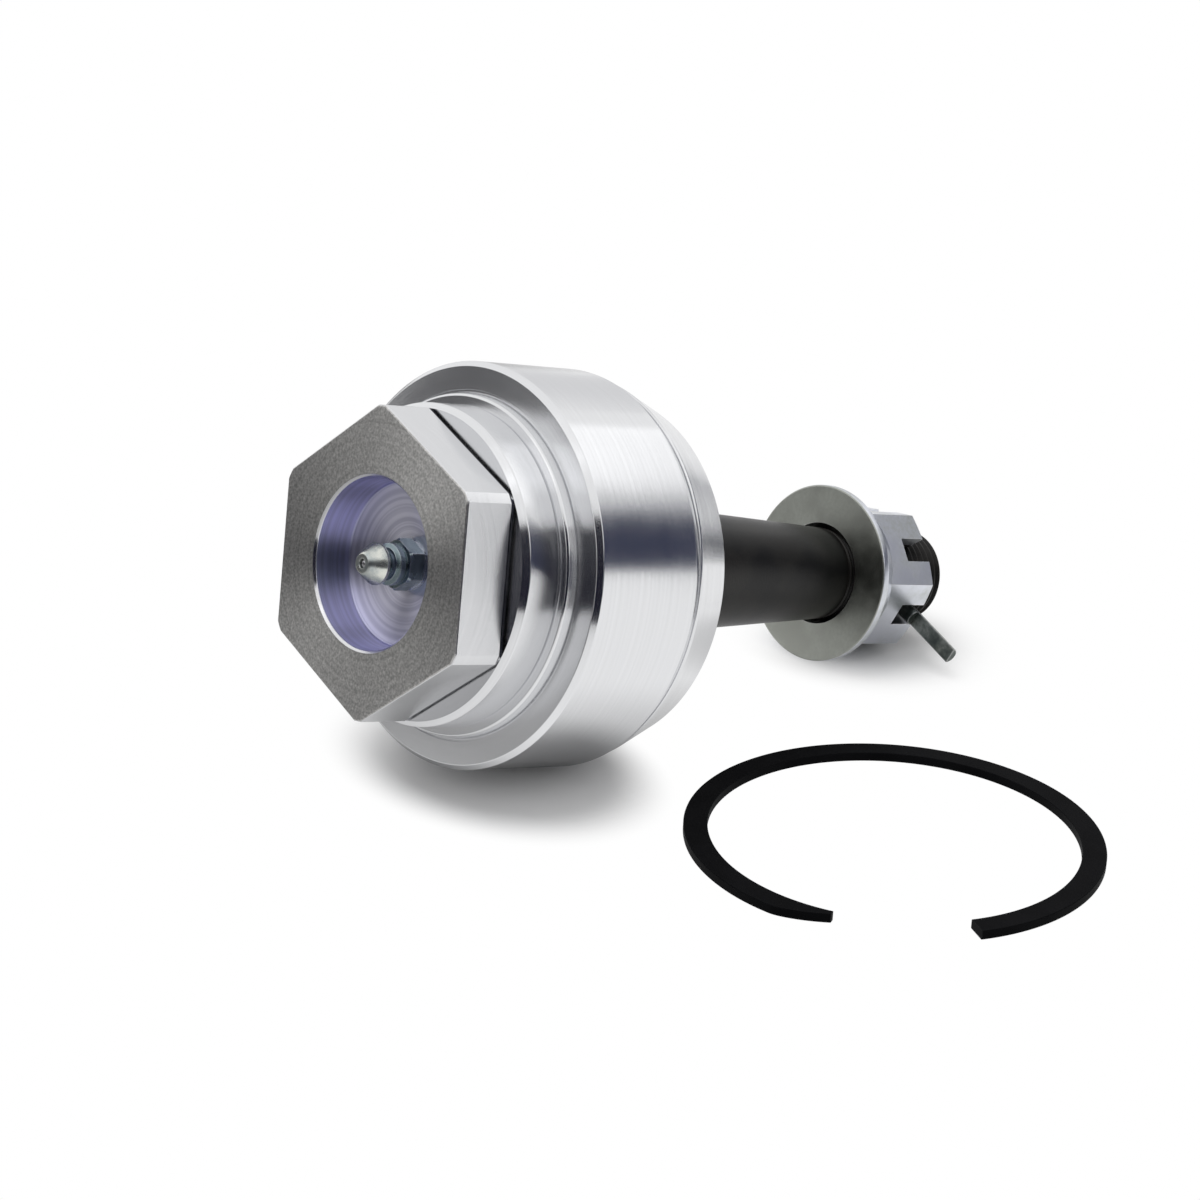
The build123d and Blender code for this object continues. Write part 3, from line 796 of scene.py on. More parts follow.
def bump(tree, shader, height, strength, distance):
    """Puts a bump on the shader's normal."""
    made = add(tree, "ShaderNodeBump")
    made.inputs["Strength"].default_value = strength
    made.inputs["Distance"].default_value = distance * MM
    feed(tree, made.inputs["Height"], height)
    feed(tree, shader.inputs["Normal"], made.outputs[0])


def turned_sheen(tree, shader, place, anisotropy):
    """Stretches reflections across the rings that the lathe left."""
    round_axis = vector_calc(tree, "CROSS_PRODUCT", tuple(AXIS), place)
    to_world = add(
        tree,
        "ShaderNodeVectorTransform",
        vector_type="VECTOR",
        convert_from="OBJECT",
        convert_to="WORLD",
    )
    feed(tree, to_world.inputs[0], round_axis)
    feed(tree, shader.inputs["Tangent"], to_world.outputs[0])
    shader.inputs["Anisotropic"].default_value = anisotropy
    shader.inputs["Anisotropic Rotation"].default_value = 0.25


def make_turned_steel(name, shades, cap=None):
    """Bright turned steel, with the cap's own finishes where its sizes are given."""
    tree, shader, place = new_material(name)
    marks = use_group(tree, "Turning Marks", Place=place, Fine=9000.0, Coarse=1400.0)
    mottle = use_group(tree, "Mottle", Place=place, Patch_Size=55.0, Speck_Size=2600.0)
    faint = product(tree, marks["Bands"], 0.5)
    tint = mix(tree, faint, opaque(shades.turned), opaque(shades.turned, 0.86))
    rough = calc(tree, "MULTIPLY_ADD", marks["Bands"], 0.05, TURNED_ROUGHNESS)
    rough = calc(tree, "MULTIPLY_ADD", mottle["Patches"], 0.03, rough)
    if cap:
        tint, rough = cap_finishes(tree, shades, cap, place, marks, mottle, tint, rough)
    feed(tree, shader.inputs["Base Color"], tint)
    feed(tree, shader.inputs["Roughness"], rough)
    shader.inputs["Metallic"].default_value = 1.0
    turned_sheen(tree, shader, place, 0.85)
    height = calc(tree, "MULTIPLY_ADD", marks["Bands"], 0.4, marks["Marks"])
    bump(tree, shader, height, 0.25, 0.02)


def cap_finishes(tree, shades, cap, place, marks, mottle, tint, rough):
    """The cap's violet recess with painted shade on its wall, painted shade in its undercut, and
    satin front face.
    """
    rim_r = cap.recess_r + cap.recess_edge
    floor = CAP_FRONT + cap.recess_depth + cap.dish
    collar = CAP_FRONT + cap.hex_len
    flats_end = collar - cap.undercut_len
    # Each zone's measure, the edge it is told from, and how far past that edge it begins
    # and is full, in millimetres. The undercut's painted shade takes in the last of the flats.
    zones = {
        "in_recess": ("Radius", rim_r, 0.05, -0.2),
        "above_floor": ("Station", floor, 0.7, -0.3),
        "below_lip": ("Station", CAP_FRONT, 0.3, 0.55),
        "at_wall": ("Radius", cap.floor_r, -0.5, 0.0),
        "at_flats_end": ("Station", flats_end, -0.22, -0.17),
        "before_collar": ("Station", collar, -0.23, -0.28),
        "at_front": ("Station", CAP_FRONT, 0.25, 0.1),
        "outside_lip": ("Radius", rim_r, -0.1, 0.05),
        "before_undercut": ("Station", flats_end, -0.1, -0.3),
        "outside_recess": ("Radius", rim_r, 0.05, 0.3),
    }
    zone = {
        name: fade(tree, marks[measure], edge + none, edge + full)
        for name, (measure, edge, none, full) in zones.items()
    }

    recess = product(tree, zone["in_recess"], zone["above_floor"], zone["below_lip"])
    # The violet cast is painted darker on the recess's wall, as painted shade inside the recess.
    violet = mix(tree, zone["at_wall"], opaque(shades.passivation), opaque(shades.recess_wall_shade))
    rings = spread(tree, marks["Bands"], *NOISE_MIDDLE, 0.0, 0.35)
    violet = mix(tree, rings, violet, opaque(shades.recess_wall_shade, 0.5))
    tint = mix(tree, recess, tint, violet)
    rough = calc(tree, "MULTIPLY_ADD", recess, 0.14, rough)

    # Painted shade in the undercut behind the flats, on its upper side only.
    lift = vector_calc(tree, "DOT_PRODUCT", place, tuple(LIFT))
    upper = fade(tree, lift, *UNDERCUT_SHADE)
    undercut = product(tree, zone["at_flats_end"], zone["before_collar"], upper)
    tint = mix(tree, undercut, tint, opaque(shades.undercut))

    face = product(tree, zone["at_front"], zone["outside_lip"])
    grain = calc(tree, "MULTIPLY_ADD", mottle["Specks"], 1.6, -0.35)
    grain = calc(tree, "MULTIPLY_ADD", marks["Bands"], 0.5, grain)
    satin = mix(tree, grain, opaque(shades.front_face), opaque(shades.front_face, 0.45))
    tint = mix(tree, face, tint, satin)

    hexagon = product(tree, zone["before_undercut"], zone["outside_recess"])
    rough = calc(tree, "MULTIPLY_ADD", hexagon, 0.08, rough)
    return tint, calc(tree, "MULTIPLY_ADD", face, 0.22, rough)


def make_zinc(name, shades, base, stain, roughness, patches, front=None):
    """Zinc plating with dull patches and fine specks.

    A front is a station, the colour before it, which is painted shade on the nut's flange face,
    and the radius of a bore's mouth with painted shade.
    """
    tree, shader, place = new_material(name)
    base = opaque(base)
    if front:
        station, pale, mouth_r = front
        marks = use_group(tree, "Turning Marks", Place=place)
        before = fade(tree, marks["Station"], station + PLATING_FADE, station)
        base = mix(tree, before, base, opaque(pale))
        # Painted shade in the bevel of the bore's mouth, for the shadowed gap round the stud.
        mouth = fade(tree, marks["Radius"], mouth_r, mouth_r - MOUTH_FADE)
        base = mix(tree, mouth, base, opaque(shades.mouth))
    mottle = use_group(tree, "Mottle", Place=place, Patch_Size=patches, Speck_Size=1500.0)
    wear = use_group(tree, "Edge Wear", Width=0.4 * MM, Breakup=0.8)
    specked = product(tree, mottle["Patches"], mottle["Specks"])
    tint = mix(tree, specked, base, opaque(stain))
    tint = mix(tree, product(tree, wear["Wear"], 0.6), tint, opaque(shades.worn_zinc))
    feed(tree, shader.inputs["Base Color"], tint)
    rough = calc(tree, "MULTIPLY_ADD", mottle["Patches"], 0.12, roughness)
    feed(tree, shader.inputs["Roughness"], rough)
    shader.inputs["Metallic"].default_value = 1.0
    bump(tree, shader, mottle["Specks"], 0.3, 0.03)


def make_black_steel(name, base, rubbed, roughness, level, rings):
    """Dark treated steel whose edges and high spots are rubbed brighter."""
    tree, shader, place = new_material(name)
    marks = use_group(tree, "Turning Marks", Place=place, Fine=6000.0, Coarse=700.0)
    mottle = use_group(tree, "Mottle", Place=place, Patch_Size=130.0, Speck_Size=3000.0)
    wear = use_group(tree, "Edge Wear", Width=0.4 * MM, Breakup=0.8)
    patches = product(tree, mottle["Patches"], mottle["Specks"], 0.6)
    amount = calc(tree, "MAXIMUM", wear["Wear"], patches)
    feed(tree, shader.inputs["Base Color"], mix(tree, amount, opaque(base), opaque(rubbed)))
    rough = calc(tree, "MULTIPLY_ADD", mottle["Specks"], 0.15, roughness)
    feed(tree, shader.inputs["Roughness"], rough)
    shader.inputs["Metallic"].default_value = 0.0
    shader.inputs["Specular IOR Level"].default_value = level
    height = calc(tree, "MULTIPLY_ADD", marks["Marks"], rings, mottle["Specks"])
    bump(tree, shader, height, 0.4, 0.03)


def make_rubber(name, base, roughness):
    """Moulded rubber with a faint grain."""
    tree, shader, place = new_material(name)
    mottle = use_group(tree, "Mottle", Place=place, Patch_Size=200.0, Speck_Size=2500.0)
    dusty = product(tree, mottle["Patches"], 0.5)
    feed(tree, shader.inputs["Base Color"], mix(tree, dusty, opaque(base), opaque(base, 2.2)))
    rough = calc(tree, "MULTIPLY_ADD", mottle["Specks"], 0.2, roughness)
    feed(tree, shader.inputs["Roughness"], rough)
    bump(tree, shader, mottle["Specks"], 0.3, 0.04)


class BALLJOINT_OT_finishes(bpy.types.Operator):
    """Make the finishes of all the pieces"""

    bl_idname = "ball_joint.finishes"
    bl_label = "Finishes"

    def execute(self, context):
        shades = context.scene.ball_joint_finishes
        make_turning_group()
        make_mottle_group()
        make_wear_group()
        make_turned_steel("housing_steel", shades)
        make_turned_steel("cap_steel", shades, sizes(context, "cap"))

        nut, fitting = sizes(context, "nut"), sizes(context, "fitting")
        # The nut's flange face gets a darker copy of its plating, painted shade for its dim
        # reflection.
        flange = (NUT_FRONT + PLATING_FADE, shades.flange, nut.bore_r + nut.bore_edge)
        # The fitting's neck and hexagon get a dark copy of its pale plating, painted shade.
        head_end = FITTING_FRONT + fitting.head_len + fitting.land + PALE_PAST_LAND
        head = (head_end, shades.fitting, 0.0)
        # Material, colour, colour of its patches, roughness, patch scale and front
        for name, *settings in (
            ("nut_zinc", shades.zinc, shades.zinc_stain, 0.3, 160.0, flange),
            ("fitting_zinc", shades.fitting_hex, shades.fitting_hex, 0.2, 500.0, head),
            ("clip_zinc", shades.band, shades.zinc_stain, 0.25, 200.0),
            ("pin_zinc", shades.pin, shades.zinc_stain, 0.35, 300.0),
            ("spring_blue", shades.spring, shades.phosphate_rub, 0.3, 200.0),
            ("ground_steel", shades.ground, shades.spring, 0.12, 200.0),
        ):
            make_zinc(name, shades, *settings)

        # Material, colour, colour of its rubbed parts, roughness, sheen and turning rings
        for settings in (
            ("phosphate", shades.phosphate, shades.phosphate_rub, 0.3, 0.28, 1.0),
            ("black_oxide", shades.oxide, shades.oxide_rub, 0.5, 0.03, 0.0),
        ):
            make_black_steel(*settings)

        make_rubber("boot_rubber", shades.rubber, 0.45)
        make_rubber("seal_rubber", shades.rubber, 0.35)
        make_rubber("bush_plastic", shades.plastic, 0.4)
        return {"FINISHED"}


class BALLJOINT_OT_housing(bpy.types.Operator):
    """Turn the pressed housing"""

    bl_idname = "ball_joint.housing"
    bl_label = "Housing"

    def execute(self, context):
        s = sizes(context, "housing")
        front, shoulder = HOUSING_FRONT, HOUSING_FRONT + s.boss_len
        foot_r = s.boss_r + s.boss_flare
        groove_end = s.press_end + s.groove_len
        land_end = groove_end + s.land_len
        lip_start = s.rear_face + s.boot_groove_len
        chamfer, rear_bevel, edge = s.shoulder_chamfer, s.rear_chamfer, s.edge
        outline = (
            (front, s.bore_r, edge),
            (front, s.boss_r, edge),
            (front + s.boss_flare / 2, s.boss_r + s.boss_flare / 2, edge),
            (shoulder, foot_r, edge / 2),
            (shoulder + s.relief * 0.75, foot_r, edge / 2),
            (shoulder + s.relief * 0.75, foot_r + s.relief, edge / 2),
            (shoulder, foot_r + s.relief, edge / 2),
            (shoulder, HOUSING_R - chamfer, edge),
            (shoulder + chamfer, HOUSING_R, edge),
            (s.press_end, HOUSING_R, edge),
            (s.press_end, HOUSING_R - s.groove_depth, edge),
            (groove_end, HOUSING_R - s.groove_depth, edge),
            (groove_end, HOUSING_R - s.land_drop, 2 * edge),
            (land_end, HOUSING_R - s.land_drop, edge),
            (s.rear_face - rear_bevel, s.rear_r, edge),
            (s.rear_face, s.rear_r - rear_bevel, edge),
            (s.rear_face, s.groove_r, edge),
            (lip_start, s.groove_r, edge),
            (lip_start, s.lip_r, edge),
            (HOUSING_END, s.lip_r, edge),
            (HOUSING_END, s.mouth_r, edge),
            (s.throat, s.throat_r, edge),
            (s.throat, s.seat_bore_r, edge),
            (s.bore_end, s.seat_bore_r, edge),
            (s.bore_end, s.bore_r, edge),
        )
        piece = finished(spun(outline), "housing_shell")
        dress(piece, "housing_steel", "housing", "housing")
        return {"FINISHED"}


class BALLJOINT_OT_cap(bpy.types.Operator):
    """Turn the threaded cap and mill its hexagon"""

    bl_idname = "ball_joint.cap"
    bl_label = "Threaded Cap"

    def execute(self, context):
        s = sizes(context, "cap")
        edge = s.edge
        collar_front = CAP_FRONT + s.hex_len
        hex_end = collar_front - s.undercut_len
        corner_r = s.apothem / cos(radians(30) - s.corner)
        seal_front = HOUSING_FRONT + s.seal_start
        recess_floor = CAP_FRONT + s.recess_depth
        rim_r = s.recess_r + s.recess_edge
        bm = spun(
            (
                (collar_front, CAP_R - s.collar_chamfer, 0),
                (collar_front + s.collar_chamfer, CAP_R, edge),
                (HOUSING_FRONT - s.collar_edge, CAP_R, edge),
                (HOUSING_FRONT, CAP_R - s.collar_edge, edge),
                (HOUSING_FRONT, s.skirt_r, edge),
                (seal_front, s.skirt_r, edge),
                (seal_front, s.seal_r, edge),
                (seal_front + s.seal_len, s.seal_r, edge),
                (seal_front + s.seal_len, s.skirt_r, edge),
                (CAP_END, s.skirt_r, edge),
                (CAP_END, s.inner_r, edge),
                (s.shoulder, s.inner_r, edge),
                (s.shoulder, s.cavity_r, edge),
                (s.cavity_end, s.cavity_r, edge),
                (s.cavity_end, s.hole_r, edge),
                (recess_floor + s.dish, s.hole_r, edge),
                (recess_floor + s.dish, s.fitting_r, edge),
                (recess_floor, s.floor_r, 3 * edge),
                (CAP_FRONT + s.recess_edge, s.recess_r, edge),
                (CAP_FRONT, rim_r, 0),
            ),
            closed=False,
        )
        collar_ring = open_ring(bm, collar_front)
        recess_ring = open_ring(bm, CAP_FRONT)
        undercut = s.apothem - s.undercut_depth
        undercut_corner = CAP_R - s.collar_chamfer - edge
        chamfered = (s.apothem - s.chamfer, corner_r - s.chamfer)
        bridge(
            bm,
            recess_ring,
            hexagon_ring(bm, CAP_FRONT, *chamfered),
            hexagon_ring(bm, CAP_FRONT + s.chamfer, s.apothem, corner_r),
            hexagon_ring(bm, hex_end, s.apothem, corner_r),
            hexagon_ring(bm, hex_end, undercut, undercut_corner),
            hexagon_ring(bm, collar_front, undercut, undercut_corner),
            collar_ring,
        )
        piece = finished(rotated(bm, s.hex_turn), "threaded_cap_body")
        dress(piece, "cap_steel", "housing", "threaded_cap")
        return {"FINISHED"}


class BALLJOINT_OT_fitting(bpy.types.Operator):
    """Make the grease fitting and its check ball"""

    bl_idname = "ball_joint.fitting"
    bl_label = "Grease Fitting"

    def execute(self, context):
        s = sizes(context, "fitting")
        edge = s.edge
        head = FITTING_FRONT + s.head_len
        neck = head + s.land + s.back
        collar = neck + s.neck_len
        chamber = FITTING_FRONT + s.inlet_len
        chamber_end = chamber + s.chamber_len
        end_r = s.apothem + s.hex_face
        bm = spun(
            (
                (s.hex_end, s.shank_r, 0),
                (FITTING_END, s.shank_r, edge),
                (FITTING_END, s.outlet_r, edge),
                (chamber_end, s.outlet_r, edge),
                (chamber_end, s.chamber_r, edge),
                (chamber, s.chamber_r, edge),
                (chamber, s.inlet_r, edge),
                (FITTING_FRONT, s.inlet_r, edge),
                (FITTING_FRONT, s.tip_r - s.tip_edge, edge),
                (FITTING_FRONT + s.tip_edge, s.tip_r, edge),
                (head, s.head_r, edge),
                (head + s.land, s.head_r, edge),
                (neck, s.neck_r, 3 * edge),
                (collar, s.neck_r, edge),
                (collar + s.tip_edge, s.head_r, edge),
                (collar + s.collar_len - s.tip_edge, s.head_r, edge),
                (s.hex_start, s.shank_r, 0),
            ),
            closed=False,
            steps=SMALL_STEPS,
        )
        rear_ring = open_ring(bm, s.hex_end)
        front_ring = open_ring(bm, s.hex_start)
        past_corners = s.apothem / cos(radians(30)) + OVERSHOOT
        hexagon = [
            hexagon_ring(bm, station, s.apothem, radius, SMALL_STEPS)
            for station, radius in (
                (s.hex_start, end_r),
                (s.hex_start + s.tip_edge, past_corners),
                (s.hex_end - s.tip_edge, past_corners),
                (s.hex_end, end_r),
            )
        ]
        bridge(bm, front_ring, *hexagon, rear_ring)
        piece = finished(rotated(bm, s.hex_turn), "grease_fitting_body")
        dress(piece, "fitting_zinc", "housing", "grease_fitting")

        low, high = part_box("fitting_check_ball")
        ball = bmesh.new()
        bmesh.ops.create_icosphere(
            ball,
            subdivisions=4,
            radius=s.ball_r,
            matrix=Matrix.Translation((low + high) / 2 / MM),
        )
        piece = finished(ball, "check_ball", place=Matrix.Identity(4))
        dress(piece, "ground_steel", "check_valve", "fitting_check_ball")

        front, rear, _ = reach("fitting_spring")
        length = rear - front
        coil = bmesh.new()
        bmesh.ops.create_circle(
            coil,
            cap_ends=True,
            segments=WIRE_SIDES,
            radius=s.wire_r,
            matrix=Matrix.Translation((front + s.wire_r, s.coil_r, 0)),
        )
        steps = COIL_STEPS * s.coil_count
        section = coil.verts[:] + coil.edges[:] + coil.faces[:]
        advance = ((length - 2 * s.wire_r) / steps, 0, 0)
        spin(coil, section, (1, 0, 0), 2 * pi * s.coil_count, steps, advance=advance)
        piece = finished(coil, "check_ball_spring")
        dress(piece, "spring_blue", "housing", "fitting_spring")
        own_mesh(piece)
        return {"FINISHED"}


class BALLJOINT_OT_stud(bpy.types.Operator):
    """Turn the ball stud with its taper and thread"""

    bl_idname = "ball_joint.stud"
    bl_label = "Ball Stud"

    def execute(self, context):
        s = sizes(context, "stud")
        ball = []
        neck_angle = asin(s.neck_r / BALL_R)
        for step in range(BALL_STEPS + 1):
            angle = pi - (pi - neck_angle) * step / BALL_STEPS
            ball.append((BALL_R * cos(angle), max(0.0, BALL_R * sin(angle)), 0))
        land = s.neck_end + s.flare
        land_end = land + s.land_len
        taper_start = land_end + s.lead
        taper_end = NUT_FRONT - s.thread_lead
        flank = (s.pitch - s.crest) / 2
        root_r = s.thread_r - s.thread_depth
        turns = int((STUD_END - s.chamfer - taper_end - flank) / s.pitch)
        thread = []
        for count in range(turns):
            root = taper_end + count * s.pitch
            thread.append((root, root_r, 0))
            thread.append((root + flank, s.thread_r, 0))
            thread.append((root + flank + s.crest, s.thread_r, 0))
        last = taper_end + turns * s.pitch
        outline = (
            *ball,
            (s.neck_end, s.neck_r, 5 * s.edge),
            (land, s.land_r, s.edge),
            (land_end, s.land_r, s.edge),
            (taper_start, s.taper_r + s.taper * (NUT_FRONT - taper_start), s.edge),
            (taper_end, s.taper_r + s.taper * (NUT_FRONT - taper_end), 0),
            *thread,
            (last, root_r, 0),
            (last + flank, s.thread_r, 0),
            (STUD_END - s.chamfer, s.thread_r, s.edge),
            (STUD_END, s.thread_r - s.chamfer, s.edge),
            (STUD_END, 0, 0),
        )
        bm = spun(outline, closed=False, steps=TURN_STEPS // 2)
        piece = finished(bm, "ball_stud_body")
        dress(piece, "phosphate", "stud", "ball_stud")
        return {"FINISHED"}


class BALLJOINT_OT_nut(bpy.types.Operator):
    """Turn the castle nut, mill its hexagon and cut its slots"""

    bl_idname = "ball_joint.nut"
    bl_label = "Castle Nut"

    def execute(self, context):
        s = sizes(context, "nut")
        rim_end = NUT_FRONT + s.rim
        cone_end = rim_end + s.cone_len
        corner_r = s.apothem / cos(radians(30))
        flange = spun(
            (
                (NUT_FRONT, 0, 0),
                (NUT_FRONT, NUT_FLANGE_R - s.rim_edge, s.edge),
                (NUT_FRONT + s.rim_edge, NUT_FLANGE_R, s.edge),
                (rim_end, NUT_FLANGE_R, s.edge),
                (cone_end, s.cone_r, s.edge),
                (cone_end, 0, 0),
            ),
            closed=False,
        )
        nut = plain_object(flange, "castle_nut_body")
        hexagon = bmesh.new()
        bmesh.ops.create_circle(
            hexagon,
            cap_ends=True,
            radius=corner_r,
            segments=6,
            matrix=Matrix.Translation((rim_end, 0, 0)) @ ACROSS,
        )
        push(hexagon, hexagon.faces[:], (NUT_END - rim_end, 0, 0))
        rotated(hexagon, radians(30))
        combined(nut, plain_object(hexagon, "hexagon"), "UNION")

        before, past = NUT_FRONT - OVERSHOOT, NUT_END + OVERSHOOT
        around = NUT_FLANGE_R + OVERSHOOT
        bevel_start = NUT_END - (NUT_FLANGE_R - s.end_r) * tan(s.end_angle)
        envelope = (
            (before, 0, 0),
            (before, around, 0),
            (bevel_start, around, 0),
            (bevel_start, NUT_FLANGE_R, 0),
            (NUT_END, s.end_r, 0),
            (NUT_END, 0, 0),
        )
        combined(nut, plain_object(spun(envelope, closed=False), "envelope"), "INTERSECT")
        bore = (
            (before, 0, 0),
            (before, s.bore_r + s.bore_edge + OVERSHOOT, 0),
            (NUT_FRONT + s.bore_edge, s.bore_r, 0),
            (past, s.bore_r, 0),
            (past, 0, 0),
        )
        combined(nut, plain_object(spun(bore, closed=False), "bore"), "DIFFERENCE")
        for slot in range(3):
            box = bmesh.new()
            shape = Matrix.Diagonal((2 * s.slot_depth, s.slot, 4 * corner_r, 1))
            place = Matrix.Translation((NUT_END, 0, 0)) @ shape
            bmesh.ops.create_cube(box, size=1, matrix=place)
            rotated(box, radians(60 * slot))
            combined(nut, plain_object(box, "slot"), "DIFFERENCE")
        bm = bmesh.new()
        bm.from_mesh(nut.data)
        bpy.data.objects.remove(nut)
        piece = finished(rotated(bm, s.hex_turn), "castle_nut_body")
        dress(piece, "nut_zinc", "stud", "castle_nut")
        return {"FINISHED"}


class BALLJOINT_OT_pin(bpy.types.Operator):
    """Bend the cotter pin"""

    bl_idname = "ball_joint.pin"
    bl_label = "Cotter Pin"

    def execute(self, context):
        s = sizes(context, "pin")
        inner = s.split / 2
        bm = bmesh.new()
        # The section is a half disc across the legs, its flat towards the other leg.
        tip = Matrix.Translation((0, 0, s.long_leg))
        bmesh.ops.create_circle(
            bm, cap_ends=True, radius=s.leg_r, segments=PIN_SIDES, matrix=tip
        )
        slice_at(bm, inner, clear_inner=True)
        bend = s.bend_r + inner
        lean = asin(bend / (s.eye_r + s.bend_r))
        bend_start = -s.eye_centre + (s.eye_r + s.bend_r) * cos(lean)
        outward = pi / 2 - lean
        section = push(bm, bm.faces[:], (0, 0, bend_start - s.long_leg))
        for across, along, angle, steps in (
            (bend, bend_start, -outward, BEND_STEPS),
            (0, -s.eye_centre, 2 * outward + pi, EYE_STEPS),
            (-bend, bend_start, -outward, BEND_STEPS),
        ):
            section = spin(bm, section, (0, 1, 0), angle, steps, centre=(across, 0, along))
        push(bm, section, (0, 0, s.short_leg - bend_start))
        sharp = [edge for edge in bm.edges if edge.calc_face_angle(0) > SHARP_ANGLE]
        bevel(bm, sharp, s.edge, affect="EDGES", segments=2)
        legs = Vector((0, cos(s.angle), sin(s.angle)))
        station = Vector((1, 0, 0))
        turned_place = Matrix((station, legs.cross(station), legs)).transposed().to_4x4()
        shift = Matrix.Translation(((NUT_END - s.from_end) * MM, 0, 0))
        piece = finished(bm, "cotter_pin_body", place=AXIS_FRAME @ shift @ turned_place)
        dress(piece, "pin_zinc", "stud", "cotter_pin")
        return {"FINISHED"}


class BALLJOINT_OT_boot(bpy.types.Operator):
    """Mould the dust boot in two halves that meet at its fold"""

    bl_idname = "ball_joint.boot"
    bl_label = "Dust Boot"

    def execute(self, context):
        s = sizes(context, "boot")
        housing = sizes(context, "housing")
        lip_start = housing.rear_face + housing.boot_groove_len
        bead_front = housing.rear_face + s.gap
        bead_end = lip_start - s.gap
        dome_front = HOUSING_END - s.gap
        lip_r = housing.lip_r + s.gap
        neck_outer = s.neck_r + s.neck_wall
        neck_end = s.neck_start + s.neck_len
        inner_fold = (s.fold_station - s.wall / 2, s.fold_r - 0.8 * s.wall)
        outline = (
            (dome_front, lip_r, 0.2),
            (bead_end, lip_r, 0.2),
            (bead_end, housing.groove_r + s.gap, 0.3),
            (bead_front, housing.groove_r + s.gap, 0.3),
            (bead_front, s.bead_r, 0.3),
            (dome_front, s.bead_r, 1.0),
            (s.fold_station, s.fold_r, 2.5),
            (s.neck_start, s.dome_r, 0.6),
            (s.neck_start, neck_outer, 0.5),
            (neck_end, neck_outer, 0.3),
            (neck_end, s.neck_r, 0.3),
            (s.neck_start - s.wall / 4, s.neck_r, 0.5),
            (s.neck_start - s.wall, s.dome_r - s.wall / 2, 0.4),
            (*inner_fold, 2.5),
        )
        # Name, two body names, and where the half starts and ends
        halves = (
            ("dust_boot_base", "housing", "boot", dome_front, s.fold_station),
            ("dust_boot_neck", "boot", "boot_neck", s.fold_station, s.neck_start),
        )
        for name, first, second, start, end in halves:
            bm = spun(outline, steps=TURN_STEPS // 2)
            for count in range(1, BOOT_LOOPS):
                slice_at(bm, dome_front + (s.neck_start - dome_front) * count / BOOT_LOOPS)
            in_front = end == s.fold_station
            slice_at(bm, s.fold_station, clear_outer=in_front, clear_inner=not in_front)
            bmesh.ops.bridge_loops(bm, edges=open_ring(bm, s.fold_station))
            piece = finished(bm, name)
            piece.data.materials.append(bpy.data.materials["boot_rubber"])
            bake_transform(piece)
            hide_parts("dust_boot")
        return {"FINISHED"}


class BALLJOINT_OT_ring(bpy.types.Operator):
    """Cut the flat snap ring"""

    bl_idname = "ball_joint.ring"
    bl_label = "Snap Ring"

    def execute(self, context):
        s = sizes(context, "ring")
        inner_r = s.outer_r - s.width
        bm = bmesh.new()
        corners = ((inner_r, 0), (s.outer_r, 0), (s.outer_r, s.thickness), (inner_r, s.thickness))
        bm.faces.new([bm.verts.new((radius, 0, z)) for radius, z in corners])
        bevel(bm, bm.verts[:], s.edge, segments=3)
        start = Matrix.Rotation(s.square_end, 3, "Z")
        bmesh.ops.rotate(bm, cent=(0, 0, 0), matrix=start, verts=bm.verts[:])
        spin(bm, bm.faces[:], (0, 0, 1), s.nose_tip - s.square_end, RING_STEPS)
        nose = s.nose_tip - s.nose_start
        for vert in bm.verts:
            radius = hypot(vert.co.x, vert.co.y)
            angle = (atan2(vert.co.y, vert.co.x) - s.square_end) % (2 * pi) + s.square_end
            share = (angle - s.nose_start) / nose
            # Past the tip is only the square end, where the angle has gone round.
            if 0 < share < NOSE_END:
                drop = s.nose_drop * share**NOSE_CURVE * (radius - inner_r) / s.width
                vert.co.x *= (radius - drop) / radius
                vert.co.y *= (radius - drop) / radius
        low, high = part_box("snap_ring")
        centre = Matrix.Translation(((low.x + high.x) / 2, (low.y + high.y) / 2, low.z))
        piece = finished(bm, "snap_ring_body", place=centre)
        dress(piece, "black_oxide", "housing", "snap_ring")
        piece.visible_glossy = False
        return {"FINISHED"}


class BALLJOINT_OT_inner_pieces(bpy.types.Operator):
    """Give the pieces inside the housing and the boot's clips their finishes"""

    bl_idname = "ball_joint.inner_pieces"
    bl_label = "Inner Pieces"

    def execute(self, context):
        finishes = {
            "cap_seal_ring": "seal_rubber",
            "preload_shim": "spring_blue",
            "disc_spring_1": "spring_blue",
            "disc_spring_2": "spring_blue",
            "pressure_plate": "ground_steel",
            "upper_seat": "ground_steel",
            "lower_seat": "ground_steel",
            "boot_base_clip": "clip_zinc",
            "boot_neck_clip": "clip_zinc",
            "boot_neck_bush": "bush_plastic",
        }
        for node, material in finishes.items():
            piece = frame["nodes"][node]
            if not piece.material_slots:
                piece.data.materials.append(None)
            for slot in piece.material_slots:
                slot.link = "OBJECT"
                slot.material = bpy.data.materials[material]
        return {"FINISHED"}


# Where the housing and the nut stand: place along X, stretch of X against Y, and the
# distances where the shadow begins and ends to fade, in millimetres.
CONTACT_SHADOWS = ((-8, 1.4, 21, 35), (80, 1.15, 10, 30))

# The floor in reflections has painted shade, darker in some spots: place, edge and full
# radius in millimetres, and amount. It has painted shade too on one side of the studio: the
# direction, where that begins and is full in millimetres, and amount.
REFLECTED_SHADES = (((0, 0), 50, 14, 0.5), ((60, -14), 32, 12, 0.35))
DARK_SIDE = ((-0.7, 0.7, 0), -5, 70, 0.6)
FLOOR_TONE = (0.96, 0.96, 0.96)
WHITE, BLACK = (1, 1, 1, 1), (0, 0, 0, 1)

